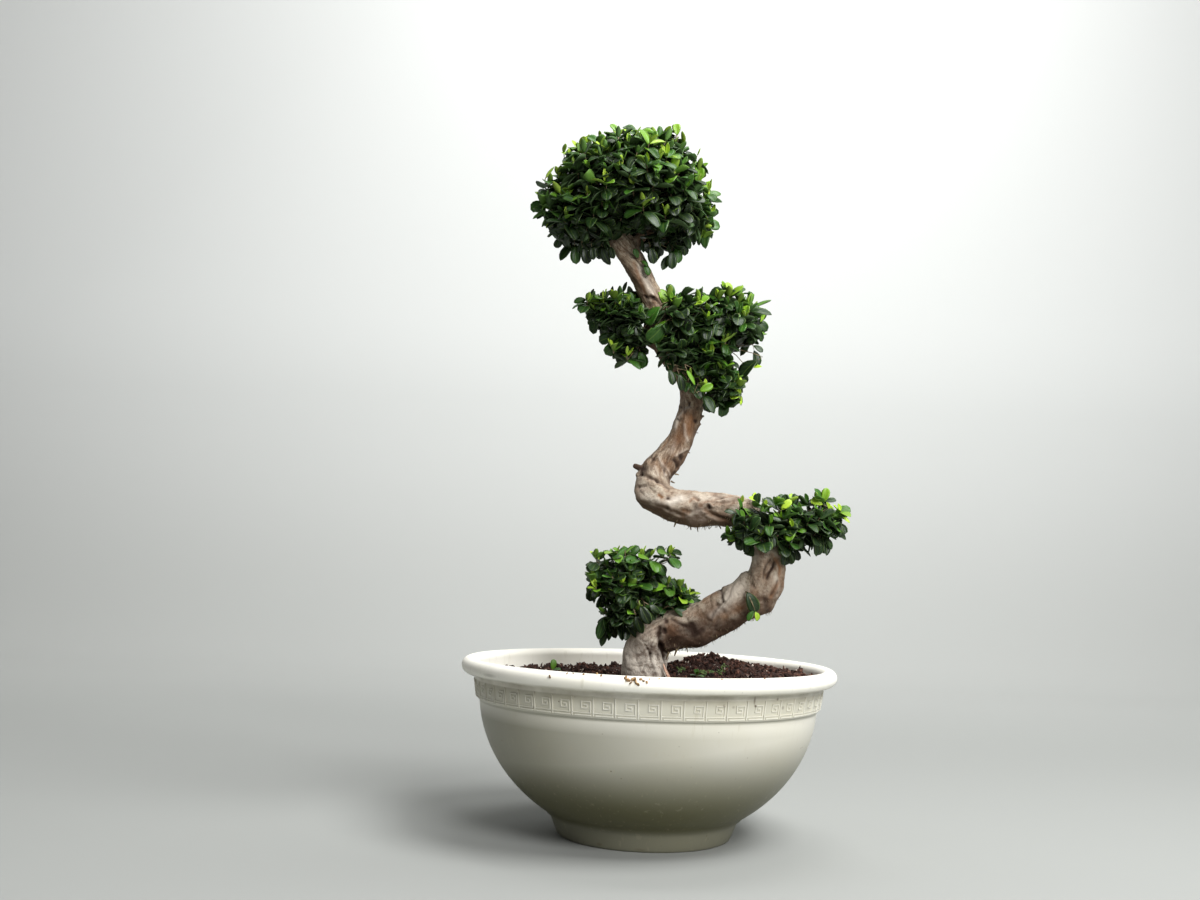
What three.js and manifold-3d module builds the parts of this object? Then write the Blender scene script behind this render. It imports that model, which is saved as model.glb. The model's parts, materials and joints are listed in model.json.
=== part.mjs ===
// A ficus bonsai with an S-curved trunk and clipped heads of small leaves, in a moulded bowl planter.
// Millimetres, +Z up. The origin is on the ground, under the middle of the pot. The front looks along -Y.

import * as THREE from "three";
import { mergeVertices } from "three/addons/utils/BufferGeometryUtils.js";
import Module from "manifold-3d";

const wasm = await Module();
wasm.setup();
const { Manifold, Mesh: SolidMesh } = wasm;

// Gap that neighbouring pieces keep to each other
const CLEARANCE = 0.35;

// Size of the slivers that joining and cutting leave, and the distance at which corners are one
const SLIVER = 0.1;
const SAME = 1e-3;

// Pot: a half-ellipse bowl with a rolled rim, a raised band under it and a low hollow foot
const RIM_RADIUS = 250;
const ROLL_RADIUS = 10.3;
const ROLL_HEIGHT = 216.2;
const ROLL_ANGLES = [-110, -55, 0, 45, 90, 135, 180];
const POT_SEGMENTS = 36;
const WALL = 4.5;
const BOWL_RADIUS = 225;
const BOWL_TOP = 185;
const BOWL_DEPTH = 190.7;
const OUTER_HEIGHTS = [31, 52, 85, 125, 173];
const INNER_HEIGHTS = [36, 70, 120];
const BAND_BOTTOM = 175;
const BAND_TOP = 203;
const BAND_RADIUS_BOTTOM = 228.5;
const BAND_RADIUS_TOP = 232.5;
const FOOT_RADIUS = 114.5;
const FOOT_WIDTH = 9;
const FOOT_TAPER = 2;
const FOOT_HEIGHT = 24;
const FOOT_WAIST = 123;
const FLOOR_RECESS = 6;
const DRAIN_RADIUS = 6;
const DRAIN_SIDES = 8;
const DRAIN_CIRCLE = 60;
const DRAIN_COUNT = 4;
const DRAIN_DEPTH = 4 * WALL;

// Soil
const SOIL_LEVEL = 200;
const SOIL_RINGS = [185, 145, 100, 50];
const SOIL_AT_WALL = 211;
const HEAP = { x: 82, y: 70, height: 25, spread: 62 };
const RIGHT_RISE = { height: 11, from: 0, to: 190 };
const COLLAR = { x: 0, y: -10, height: 4, spread: 60 };
const RIPPLES = [
  { height: 1.8, along: [1 / 9, 1 / 17] },
  { height: 1.5, along: [-1 / 21, 1 / 8] },
];

// Trunk: points on its centre line with the radius there, from inside the soil up into the top head
const TRUNK = [
  [-2, -8, 150, 27], [-3, -9, 180, 29], [-3, -10, 208, 30.5], [-4, -10, 236, 30],
  [5, -15, 261, 30.5], [37, -25, 275, 27], [70, -36, 286, 25.6], [101, -48, 301, 25.2],
  [129, -59, 318, 25.4], [146, -66, 337, 24.6], [149, -67, 358, 22.8], [146, -67, 381, 19.4],
  [139, -60, 405, 18.4], [122, -49, 426, 20], [94, -38, 432, 21.4], [60, -25, 433, 22.4],
  [25, -12, 438, 23], [2, 0, 453, 23.4], [2, 8, 479, 22], [19, 14, 504, 19.5],
  [37, 18, 532, 17], [48, 20, 565, 15.8], [50, 18, 597, 16], [38, 14, 622, 16.2],
  [15, 6, 651, 16.4], [-1, 0, 680, 16], [-8, -6, 709, 15.4], [-19, -10, 736, 15.4],
  [-35, -10, 764, 15.8], [-53, -6, 794, 15.8], [-63, 0, 826, 14.2], [-60, 0, 862, 10],
];
const TRUNK_SIDES = 12;
const TRUNK_STEP = 20;
const RIDGES = 3;
const RIDGE_HEIGHT = 0.05;
const OVALNESS = 0.02;
const TWIST = 0.44;

// Limbs that leave the trunk and end inside a head, and the cut stub at the left elbow
const LIMBS = [
  [[-2, -11, 250, 17], [-14, -6, 280, 15], [-22, -2, 312, 12], [-24, 0, 338, 8]],
  [[141, -62, 398, 11], [160, -70, 406, 9], [182, -72, 410, 6]],
  [[44, 17, 604, 10], [62, 14, 632, 8], [80, 10, 668, 7], [84, 10, 700, 5]],
  [[12, 6, 652, 9], [-18, 8, 668, 7], [-46, 10, 690, 6], [-64, 10, 706, 5]],
  [[-48, -7, 786, 9], [-22, -4, 816, 7], [4, -4, 838, 5]],
  [[-54, -6, 796, 9], [-82, -2, 820, 7], [-106, 0, 840, 5]],
];
const LIMB_SIDES = 5;
const LIMB_STEP = 40;
const STUB = [[0, 6, 483, 6], [-27, 4, 488, 4.6]];

// Leaves: the outline as shares of length and half width with its rise, the keel under it, and a
// rosette's leaves from the outermost to the youngest
const LEAF_THICKNESS = 1.8;
const LEAF_WIDTH = 0.68;
const LEAF_OUTLINE = [
  [0, 0, 0], [0.36, 0.78, 0.07], [0.8, 0.94, 0.08], [1, 0, 0], [0.8, -0.94, 0.08], [0.36, -0.78, 0.07],
];
const LEAF_TOP = [[1, 0, 5], [2, 1, 5], [2, 5, 4], [3, 2, 4]];
const KEEL = [0.58, 0, 0.07];
const ROSETTE = [
  { tilt: 60, size: 1 },
  { tilt: 56, size: 1 },
  { tilt: 50, size: 0.95 },
  { tilt: 44, size: 0.9 },
  { tilt: 8, size: 0.7 },
];
const ROSETTE_RADIUS = 5;
const GOLDEN_ANGLE = Math.PI * (3 - Math.sqrt(5));
const TILT_SPREAD = 16;
const SPIN_SPREAD = 0.4;
const LENGTH_SPREAD = 0.2;
const SIDEWAYS = new THREE.Vector3(0.3, 0.2, 1);

// Heads: how far the leaves reach past the core, how deep they are rooted in it and how far apart they are
const REACH = 17;
const CORE_LEAST = 9;
const CORE_ROUGHNESS = 3;
const ROOT_DEPTH = 5;
const LIFT = 0.35;
const BURIED = 0.95;
const LEAF_SPACING = 0.52;
const LEAF_MIDDLE = 0.65;
const CLEAR_OF_TRUNK = 3;
const TIP_LEAF = 0.85;
const TIP_LENGTH = 0.8;
const TIP_SPREAD = 0.5;
const TWIG = { radius: 1.5, sides: 3, step: 400 };

// Heads: round lumps of foliage (middle, half size over the leaf tips, number of rosettes), and the
// ends of single shoots that stand out of the outline
const vector = (list) => new THREE.Vector3(list[0], list[1], list[2]);
const box = (low, high) => new THREE.Box3(vector(low), vector(high));
const HEADS = [
  {
    name: "foliage_top",
    seed: 11,
    leaf: 34,
    within: box([-250, -250, 760], [250, 250, 985]),
    lumps: [
      { at: [-44, 0, 878], half: [108, 108, 84], rosettes: 42, detail: 2 },
      { at: [-98, 0, 838], half: [74, 82, 60], rosettes: 22, detail: 2 },
      { at: [4, -4, 840], half: [68, 80, 60], rosettes: 20, detail: 2 },
    ],
    tips: [[-182, -8, 858], [78, 6, 864], [74, -14, 818], [-160, -20, 906]],
  },
  {
    name: "foliage_middle_left",
    seed: 23,
    leaf: 30,
    within: box([-250, -250, 600], [-10.5, 250, 758]),
    lumps: [
      { at: [-66, 10, 706], half: [48, 48, 36], rosettes: 10, detail: 1 },
      { at: [-42, 10, 666], half: [32, 36, 38], rosettes: 5, detail: 1 },
      { at: [-32, -14, 690], half: [28, 32, 40], rosettes: 3, detail: 1 },
    ],
    tips: [[-116, 6, 722], [-112, 10, 700]],
  },
  {
    name: "foliage_middle_right",
    seed: 37,
    leaf: 32,
    within: box([-9.5, -250, 560], [250, 250, 758]),
    lumps: [
      { at: [86, 10, 697], half: [68, 68, 54], rosettes: 11, detail: 2 },
      { at: [62, 8, 646], half: [54, 56, 44], rosettes: 5, detail: 1 },
      { at: [27, -18, 692], half: [34, 34, 50], rosettes: 4, detail: 1 },
      { at: [24, -22, 652], half: [32, 28, 34], rosettes: 3, detail: 1 },
      { at: [94, -4, 604], half: [30, 32, 36], rosettes: 5, detail: 1 },
    ],
    tips: [[153, 6, 716], [118, 0, 752]],
  },
  {
    name: "foliage_right",
    seed: 41,
    leaf: 30,
    within: box([60, -249, 340], [249, 40, 480]),
    lumps: [
      { at: [142, -72, 408], half: [58, 56, 36], rosettes: 8, detail: 1 },
      { at: [192, -70, 413], half: [54, 58, 36], rosettes: 8, detail: 1 },
    ],
    tips: [[247, -70, 437], [216, -72, 462], [90, -74, 396], [168, -76, 362]],
  },
  {
    name: "foliage_lower_left",
    seed: 59,
    leaf: 30,
    within: box([-250, -250, 244], [90, 250, 400]),
    lumps: [
      { at: [-34, 0, 336], half: [56, 58, 46], rosettes: 10, detail: 2 },
      { at: [34, -10, 313], half: [38, 44, 28], rosettes: 6, detail: 1 },
      { at: [2, -12, 304], half: [42, 44, 28], rosettes: 5, detail: 1 },
      { at: [-50, -6, 286], half: [27, 30, 40], rosettes: 6, detail: 1 },
    ],
    tips: [[24, -4, 378], [-94, 0, 344], [68, -12, 312]],
  },
];

// Small shoots that are not part of a head: the stem's points, then each leaf's base, tip and upper side
const SPRIGS = [
  {
    name: "sprig_bend",
    color: 0x35692a,
    stem: [[110, -66, 330], [117, -90, 327], [124, -92, 316], [128, -92, 307]],
    leaves: [
      [[118, -89, 326], [135, -95, 298], [0.5, -0.8, 0.3]],
      [[127, -91, 308], [139, -94, 290], [0.2, -0.9, 0.3]],
      [[127, -91, 309], [120, -95, 290], [-0.4, -0.8, 0.2]],
      [[119, -89, 324], [108, -100, 306], [-0.6, -0.6, 0.5]],
    ],
  },
  {
    name: "sprig_upper_trunk",
    color: 0x3d7d3a,
    stem: [[-38, -14, 770], [-33, -28, 771], [-24, -31, 762]],
    leaves: [
      [[-24, -30, 762], [-15, -33, 744], [0.4, -0.9, 0.2]],
      [[-26, -30, 765], [-10, -34, 772], [0.1, -0.8, 0.6]],
      [[-31, -28, 770], [-38, -34, 787], [-0.2, -0.9, 0.1]],
    ],
  },
  {
    name: "seedling",
    color: 0x4f8a34,
    stem: [[-131, 40, 188], [-131, 40, 203], [-130, 38, 209]],
    leaves: [
      [[-130, 39, 207], [-141, 34, 214], [0.5, 0, 0.8]],
      [[-130, 39, 207], [-119, 34, 215], [-0.5, 0, 0.8]],
      [[-130, 38, 208], [-129, 30, 221], [0, 0.8, 0.5]],
      [[-130, 38, 208], [-127, 48, 217], [0, -0.5, 0.8]],
    ],
  },
  {
    name: "weed",
    color: 0x5d8f3c,
    stem: [[63, -20, 186], [63, -20, 206], [64, -22, 213]],
    leaves: [
      [[64, -21, 211], [53, -26, 217], [0.5, 0, 0.8]],
      [[64, -21, 211], [75, -27, 216], [-0.5, 0, 0.8]],
      [[64, -22, 212], [66, -31, 222], [0, 0.8, 0.5]],
      [[64, -22, 212], [63, -13, 221], [0, -0.5, 0.8]],
    ],
  },
];
const STEM = { radius: 1.1, sides: 5, step: 12 };

// Numbers between 0 and 1 in a fixed order
function randomFrom(seed) {
  let state = seed;
  return () => {
    state = (state * 1664525 + 1013904223) % 4294967296;
    return state / 4294967296;
  };
}

const withRadius = (points, radius) => points.map((point) => [...point, radius]);

// A geometry of triangles from rows of numbers
function meshOf(positions, triangles) {
  const geometry = new THREE.BufferGeometry();
  geometry.setAttribute("position", new THREE.Float32BufferAttribute(positions.flat(), 3));
  geometry.setIndex(triangles.flat());
  return geometry;
}

// Shared corners are joined, and triangles that shrank to a line are dropped
function weld(geometry) {
  const bare = new THREE.BufferGeometry();
  bare.setAttribute("position", geometry.getAttribute("position"));
  bare.setIndex(geometry.getIndex());
  const merged = mergeVertices(bare, SAME);
  const index = merged.getIndex().array;
  const kept = [];
  for (let i = 0; i < index.length; i += 3) {
    const [a, b, c] = [index[i], index[i + 1], index[i + 2]];
    if (a !== b && b !== c && c !== a) {
      kept.push(a, b, c);
    }
  }
  merged.setIndex(kept);
  return merged;
}

function toSolid(geometry) {
  const welded = weld(geometry);
  const vertProperties = new Float32Array(welded.getAttribute("position").array);
  const triVerts = new Uint32Array(welded.getIndex().array);
  return new Manifold(new SolidMesh({ numProp: 3, vertProperties, triVerts }));
}

function toGeometry(solid) {
  const mesh = solid.getMesh();
  const geometry = new THREE.BufferGeometry();
  geometry.setAttribute("position", new THREE.BufferAttribute(mesh.vertProperties, 3));
  geometry.setIndex(new THREE.BufferAttribute(mesh.triVerts, 1));
  return geometry;
}

const joined = (solids) => solids.reduce((sum, solid) => sum.add(solid));

// The largest body of a solid, without loose scraps and slivers
function mainBody(solid) {
  const bodies = toSolid(toGeometry(solid.simplify(SLIVER))).decompose();
  return bodies.reduce((best, body) => (body.volume() > best.volume() ? body : best));
}

// A profile of [radius, height] points, turned about +Z
function revolve(profile, segments) {
  const points = profile.map(([radius, height]) => new THREE.Vector2(radius, height));
  return new THREE.LatheGeometry(points, segments).rotateX(Math.PI / 2);
}

// Triangles between rings of points that lie one after another, closed at both ends on a middle point.
// The first ring starts at point 0, and the two middle points follow the last ring.
function ringTriangles(rings, sides) {
  const triangles = [];
  const first = rings * sides;
  const last = first + 1;
  const top = (rings - 1) * sides;
  for (let corner = 0; corner < sides; corner += 1) {
    const next = (corner + 1) % sides;
    triangles.push([first, next, corner], [last, top + corner, top + next]);
    for (let low = 0; low < top; low += sides) {
      const high = low + sides;
      triangles.push([low + corner, low + next, high + next]);
      triangles.push([low + corner, high + next, high + corner]);
    }
  }
  return triangles;
}

// A closed tube through [x, y, z, radius] points. section(angle, mark) scales the radius.
function tube(points, { sides, step }, grow = 0, section = () => 1) {
  const curve = new THREE.CatmullRomCurve3(points.map(vector), false, "centripetal");
  const steps = Math.max(1, Math.round(curve.getLength() / step));
  const positions = [];
  const side = new THREE.Vector3(1, 0, 0);
  for (let ring = 0; ring <= steps; ring += 1) {
    const share = ring / steps;
    const ahead = curve.getTangent(share);
    side.addScaledVector(ahead, -side.dot(ahead)).normalize();
    const across = new THREE.Vector3().crossVectors(ahead, side);
    const mark = share * (points.length - 1);
    const low = Math.min(Math.floor(mark), points.length - 2);
    const radius = THREE.MathUtils.lerp(points[low][3], points[low + 1][3], mark - low);
    for (let corner = 0; corner < sides; corner += 1) {
      const angle = (2 * Math.PI * corner) / sides;
      const wide = radius * section(angle, mark) + grow;
      const point = curve.getPoint(share);
      point.addScaledVector(side, wide * Math.cos(angle));
      point.addScaledVector(across, wide * Math.sin(angle));
      positions.push(point.toArray());
    }
  }
  positions.push(curve.getPoint(0).addScaledVector(curve.getTangent(0), -grow).toArray());
  positions.push(curve.getPoint(1).addScaledVector(curve.getTangent(1), grow).toArray());
  return toSolid(meshOf(positions, ringTriangles(steps + 1, sides)));
}

const bowlRadius = (height) => BOWL_RADIUS * Math.sqrt(1 - ((height - BOWL_TOP) / BOWL_DEPTH) ** 2);
const FLOOR_TOP = FLOOR_RECESS + WALL;
const innerWall = [
  [FOOT_RADIUS - FOOT_WIDTH, FLOOR_TOP],
  ...INNER_HEIGHTS.map((height) => [bowlRadius(height) - WALL, height]),
  [BAND_RADIUS_TOP - WALL, BAND_TOP],
];

function makePot() {
  const roll = ROLL_ANGLES.map((degrees) => {
    const angle = THREE.MathUtils.degToRad(degrees);
    const radius = RIM_RADIUS - ROLL_RADIUS + ROLL_RADIUS * Math.cos(angle);
    return [radius, ROLL_HEIGHT + ROLL_RADIUS * Math.sin(angle)];
  });
  const profile = [
    [0, FLOOR_RECESS],
    [FOOT_RADIUS - FOOT_WIDTH - FOOT_TAPER, FLOOR_RECESS],
    [FOOT_RADIUS - FOOT_WIDTH, 0],
    [FOOT_RADIUS, 0],
    [FOOT_WAIST, FOOT_HEIGHT],
    ...OUTER_HEIGHTS.map((height) => [bowlRadius(height), height]),
    [BAND_RADIUS_BOTTOM, BAND_BOTTOM],
    [BAND_RADIUS_TOP, BAND_TOP],
    ...roll,
    ...innerWall.toReversed(),
    [0, FLOOR_TOP],
  ];
  const drain = new THREE.CylinderGeometry(DRAIN_RADIUS, DRAIN_RADIUS, DRAIN_DEPTH, DRAIN_SIDES);
  drain.rotateX(Math.PI / 2);
  let pot = toSolid(revolve(profile, POT_SEGMENTS));
  for (let hole = 0; hole < DRAIN_COUNT; hole += 1) {
    const angle = (2 * Math.PI * hole) / DRAIN_COUNT;
    const [x, y] = [DRAIN_CIRCLE * Math.cos(angle), DRAIN_CIRCLE * Math.sin(angle)];
    pot = pot.subtract(toSolid(drain.clone().translate(x, y, FLOOR_RECESS)));
  }
  return pot;
}

// Soil: the pot's inside, with a rough top that is heaped at the back right
function bump({ x, y, height, spread }, atX, atY) {
  return height * Math.exp(-((atX - x) ** 2 + (atY - y) ** 2) / spread ** 2);
}

function soilHeight(x, y) {
  const right = RIGHT_RISE.height * THREE.MathUtils.smoothstep(x, RIGHT_RISE.from, RIGHT_RISE.to);
  const level = SOIL_LEVEL + bump(HEAP, x, y) + bump(COLLAR, x, y) + right;
  return RIPPLES.reduce((sum, { height, along }) => {
    return sum + height * Math.sin(x * along[0] + y * along[1]);
  }, level);
}

function makeSoil() {
  const inset = CLEARANCE;
  const [edgeLow, edgeHigh] = innerWall.slice(-2);
  const rings = innerWall.slice(0, -1).map(([radius, height], order) => {
    return () => [radius - inset, order === 0 ? height + inset : height];
  });
  rings.push((x, y) => {
    const height = Math.min(soilHeight(x * edgeHigh[0], y * edgeHigh[0]), SOIL_AT_WALL);
    const share = Math.min((height - edgeLow[1]) / (edgeHigh[1] - edgeLow[1]), 1);
    return [THREE.MathUtils.lerp(edgeLow[0], edgeHigh[0], share) - inset, height];
  });
  rings.push(...SOIL_RINGS.map((radius) => (x, y) => [radius, soilHeight(x * radius, y * radius)]));
  const positions = rings.flatMap((ring) => {
    return Array.from({ length: POT_SEGMENTS }, (_, corner) => {
      const angle = (2 * Math.PI * corner) / POT_SEGMENTS;
      const [radius, height] = ring(Math.cos(angle), Math.sin(angle));
      return [radius * Math.cos(angle), radius * Math.sin(angle), height];
    });
  });
  positions.push([0, 0, FLOOR_TOP + inset], [0, 0, soilHeight(0, 0)]);
  return toSolid(meshOf(positions, ringTriangles(rings.length, POT_SEGMENTS)));
}

// Trunk: a bent tube with twisted ridges, the limbs and the stub, grown by a clearance if one is given
function makeTrunk(grow = 0) {
  const ridges = (angle, mark) => {
    const ridge = RIDGE_HEIGHT * Math.cos(RIDGES * (angle + mark * TWIST));
    return 1 + ridge + OVALNESS * Math.cos(2 * angle + mark);
  };
  const limb = { sides: LIMB_SIDES, step: LIMB_STEP };
  return joined([
    tube(TRUNK, { sides: TRUNK_SIDES, step: TRUNK_STEP }, grow, ridges),
    ...LIMBS.map((points) => tube(points, limb, grow)),
    tube(STUB, limb, grow),
  ]);
}

// A leaf blade, arched from base to tip, with a keel under its middle and thin at its edge
function leafBlade({ base, along, upper, length }) {
  const across = new THREE.Vector3().crossVectors(upper, along).normalize();
  const up = new THREE.Vector3().crossVectors(along, across).normalize();
  const place = ([share, side, rise], drop = 0) => {
    const point = base.clone();
    point.addScaledVector(along, share * length);
    point.addScaledVector(across, (side * length * LEAF_WIDTH) / 2);
    return point.addScaledVector(up, rise * length - drop).toArray();
  };
  const edge = LEAF_OUTLINE.map((point) => place(point));
  const under = edge.map((_, corner) => [corner, (corner + 1) % edge.length, edge.length]);
  return meshOf([...edge, place(KEEL, LEAF_THICKNESS)], [...LEAF_TOP, ...under]);
}

// The blades of a rosette at the end of a shoot
function rosetteBlades(origin, axis, leaf, random, spread = ROSETTE_RADIUS) {
  const side = SIDEWAYS.clone().cross(axis).normalize();
  const start = random() * 2 * Math.PI;
  return ROSETTE.map(({ tilt, size }, order) => {
    const spin = start + order * 2 * GOLDEN_ANGLE + (random() - 0.5) * SPIN_SPREAD;
    const lean = THREE.MathUtils.degToRad(tilt + (random() - 0.5) * TILT_SPREAD);
    const out = side.clone().applyAxisAngle(axis, spin);
    const along = axis.clone().multiplyScalar(Math.cos(lean)).addScaledVector(out, Math.sin(lean));
    const upper = axis.clone().multiplyScalar(Math.sin(lean)).addScaledVector(out, -Math.cos(lean));
    const base = origin.clone().addScaledVector(out, spread * Math.sin(lean));
    const length = leaf * size * (1 + (random() - 0.5) * LENGTH_SPREAD);
    return { base, along, upper, length };
  });
}

function trunkDistance(point) {
  return TRUNK.reduce((least, mark) => {
    return Math.min(least, point.distanceTo(vector(mark)) - mark[3]);
  }, Infinity);
}

// A ball with a rough surface
function roughBall({ at, half }, detail, random) {
  const ball = weld(new THREE.IcosahedronGeometry(1, detail));
  const corners = ball.getAttribute("position");
  for (let corner = 0; corner < corners.count; corner += 1) {
    const rough = 1 + ((random() - 0.5) * 2 * CORE_ROUGHNESS) / half.x;
    const point = new THREE.Vector3().fromBufferAttribute(corners, corner);
    point.multiplyScalar(rough).multiply(half).add(at);
    corners.setXYZ(corner, point.x, point.y, point.z);
  }
  return toSolid(ball);
}

function isInside(point, { at, half }) {
  return point.clone().sub(at).divide(half).length() < BURIED;
}

// The rosettes that cover a core, evenly spread and tilted a little at random
function coverBlades(core, cores, head, count, random) {
  const blades = [];
  for (let order = 0; order < count; order += 1) {
    const height = 1 - (2 * (order + 0.5)) / count;
    const around = order * GOLDEN_ANGLE + head.seed;
    const level = Math.sqrt(1 - height ** 2);
    const facing = new THREE.Vector3(level * Math.cos(around), level * Math.sin(around), height);
    const jitter = new THREE.Vector3(random() - 0.5, random() - 0.5, random() - 0.5 + LIFT);
    const axis = facing.clone().divide(core.half).normalize().add(jitter).normalize();
    const origin = facing.clone().multiply(core.half).add(core.at).addScaledVector(axis, -ROOT_DEPTH);
    const rosette = rosetteBlades(origin, axis, head.leaf, random);
    if (!cores.some((other) => other !== core && isInside(origin, other))) {
      blades.push(...rosette);
    }
  }
  return blades;
}

// A head: a rough core in each lump, rosettes that stand out of it, and single shoots on thin twigs
function makeHead(head, trunkGrown) {
  const random = randomFrom(head.seed);
  const solids = [];
  const blades = [];
  const cores = head.lumps.map(({ at, half }) => ({
    at: vector(at),
    half: vector(half.map((size) => Math.max(size - REACH, CORE_LEAST))),
  }));
  head.lumps.forEach((lump, number) => {
    solids.push(roughBall(cores[number], lump.detail, random));
    blades.push(...coverBlades(cores[number], cores, head, lump.rosettes, random));
  });
  for (const end of head.tips.map(vector)) {
    const nearest = cores.reduce((best, core) => {
      return end.distanceTo(core.at) < end.distanceTo(best.at) ? core : best;
    });
    const axis = end.clone().sub(nearest.at).normalize();
    const origin = end.clone().addScaledVector(axis, -TIP_LENGTH * head.leaf);
    const path = withRadius([nearest.at.toArray(), origin.toArray()], TWIG.radius);
    solids.push(tube(path, TWIG));
    blades.push(...rosetteBlades(origin, axis, TIP_LEAF * head.leaf, random, TIP_SPREAD));
  }
  const taken = [];
  for (const blade of blades) {
    const tip = blade.base.clone().addScaledVector(blade.along, blade.length);
    const middle = blade.base.clone().lerp(tip, LEAF_MIDDLE);
    const free = taken.every((other) => other.distanceTo(middle) > LEAF_SPACING * head.leaf);
    if (head.within.containsPoint(tip) && free && trunkDistance(tip) > CLEAR_OF_TRUNK) {
      taken.push(middle);
      solids.push(toSolid(leafBlade(blade)));
    }
  }
  return mainBody(joined(solids).subtract(trunkGrown));
}

// A small shoot: a thin stem with a few leaves on it
function makeSprig({ stem, leaves }, trunkGrown) {
  const solids = [tube(withRadius(stem, STEM.radius), STEM)];
  for (const [from, to, side] of leaves) {
    const base = vector(from);
    const along = vector(to).sub(base);
    const length = along.length();
    solids.push(toSolid(leafBlade({ base, along: along.normalize(), upper: vector(side), length })));
  }
  return mainBody(joined(solids).subtract(trunkGrown));
}

function material(color, roughness) {
  return new THREE.MeshStandardMaterial({ color, roughness, metalness: 0 });
}

const potPlastic = material(0xe9e7dc, 0.45);
const soilMix = material(0x3d2620, 0.95);
const bark = material(0x9c8a76, 0.85);
const leafGreen = material(0x2c5724, 0.4);

const trunkGrown = makeTrunk(CLEARANCE);
const stemsGrown = SPRIGS.map(({ stem }) => tube(withRadius(stem, STEM.radius), STEM, CLEARANCE));
const soil = makeSoil().subtract(joined([trunkGrown, ...stemsGrown]));

const bonsai = new THREE.Group();
function place(name, solid, finish) {
  const mesh = new THREE.Mesh(toGeometry(solid), finish);
  mesh.name = name;
  bonsai.add(mesh);
}

place("pot", makePot(), potPlastic);
place("soil", mainBody(soil), soilMix);
place("trunk", mainBody(makeTrunk()), bark);
for (const head of HEADS) {
  place(head.name, makeHead(head, trunkGrown), leafGreen);
}
for (const sprig of SPRIGS) {
  place(sprig.name, makeSprig(sprig, trunkGrown), material(sprig.color, 0.4));
}

export default bonsai;
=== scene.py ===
# A ficus bonsai with an S-curved trunk and clipped heads of small leaves, in a moulded bowl planter.
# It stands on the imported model's frame: metres, +Z up, the front looks along -Y. Lists of places and
# sizes are in millimetres, and mm() or MM turns them to metres.

import json
import math
import random

import bmesh
import bpy
import numpy as np
from mathutils import Matrix, Vector, noise

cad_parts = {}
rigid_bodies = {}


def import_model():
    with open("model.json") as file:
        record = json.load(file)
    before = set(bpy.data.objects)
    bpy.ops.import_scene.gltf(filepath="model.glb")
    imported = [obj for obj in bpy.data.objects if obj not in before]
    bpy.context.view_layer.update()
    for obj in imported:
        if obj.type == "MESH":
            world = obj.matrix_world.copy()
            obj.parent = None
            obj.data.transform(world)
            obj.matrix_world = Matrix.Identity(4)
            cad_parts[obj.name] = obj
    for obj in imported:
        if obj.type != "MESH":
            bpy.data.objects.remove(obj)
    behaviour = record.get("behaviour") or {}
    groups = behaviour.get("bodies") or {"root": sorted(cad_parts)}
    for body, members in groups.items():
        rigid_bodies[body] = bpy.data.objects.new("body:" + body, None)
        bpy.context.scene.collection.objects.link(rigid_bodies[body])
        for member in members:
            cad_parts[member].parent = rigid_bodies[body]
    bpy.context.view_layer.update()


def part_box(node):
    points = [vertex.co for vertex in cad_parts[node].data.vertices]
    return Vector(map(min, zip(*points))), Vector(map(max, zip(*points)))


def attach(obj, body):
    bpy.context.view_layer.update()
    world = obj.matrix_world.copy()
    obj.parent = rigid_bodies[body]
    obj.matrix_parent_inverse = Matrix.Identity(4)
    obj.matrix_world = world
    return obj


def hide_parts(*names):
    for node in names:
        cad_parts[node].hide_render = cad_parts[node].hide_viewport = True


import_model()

MM = 0.001
GOLDEN_ANGLE = math.pi * (3 - math.sqrt(5))


def mm(place):
    return Vector(place[:3]) * MM


# Camera, from the fitted view of the photograph
CAMERA_PLACE = (-75.7, -1703, 351)
CAMERA_PITCH = 5.33
CAMERA_ROLL = 2.10
LENS = 37.5
SENSOR = 36
PHOTO_WIDTH = 1200
PHOTO_HEIGHT = 900
# The lens's focal length in pixels of the photograph
FOCAL = PHOTO_WIDTH * LENS / SENSOR
CAMERA_TURN = Matrix.Rotation(math.radians(90 + CAMERA_PITCH), 4, "X")
CAMERA_TURN = CAMERA_TURN @ Matrix.Rotation(math.radians(CAMERA_ROLL), 4, "Z")


def make_camera():
    data = bpy.data.cameras.new("camera")
    data.lens = LENS
    data.sensor_width = SENSOR
    camera = bpy.data.objects.new("camera", data)
    camera.matrix_world = Matrix.Translation(mm(CAMERA_PLACE)) @ CAMERA_TURN
    bpy.context.scene.collection.objects.link(camera)
    bpy.context.scene.camera = camera


def at_pixel(pixel, depth):
    """The place that a pixel of the photograph shows, at a given depth along Y in mm."""
    start = mm(CAMERA_PLACE)
    ray = CAMERA_TURN.to_3x3() @ Vector((pixel[0] - PHOTO_WIDTH / 2, PHOTO_HEIGHT / 2 - pixel[1], -FOCAL))
    return start + ray * ((depth * MM - start.y) / ray.y)


def to_pixels(points):
    """Where points show in the photograph."""
    seen = (points - np.array(mm(CAMERA_PLACE))) @ np.array(CAMERA_TURN.to_3x3())
    return np.array((PHOTO_WIDTH / 2, PHOTO_HEIGHT / 2)) + seen[:, :2] * (-FOCAL, FOCAL) / seen[:, 2:]


# Colour and nodes
def colour(code):
    """An sRGB hex value such as "a08c74" as linear red, green, blue and alpha."""
    shares = [int(code[start:start + 2], 16) / 255 for start in (0, 2, 4)]
    linear = [v / 12.92 if v <= 0.04045 else ((v + 0.055) / 1.055) ** 2.4 for v in shares]
    return (*linear, 1)


# Socket numbers of a Mix node that mixes colours. The inputs of a Map Range node, as a list, are the
# value, what it runs from and to, and what it is turned to at these two ends, which is 0 and 1 if not given
FACTOR, FIRST, SECOND = 0, 6, 7


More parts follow.
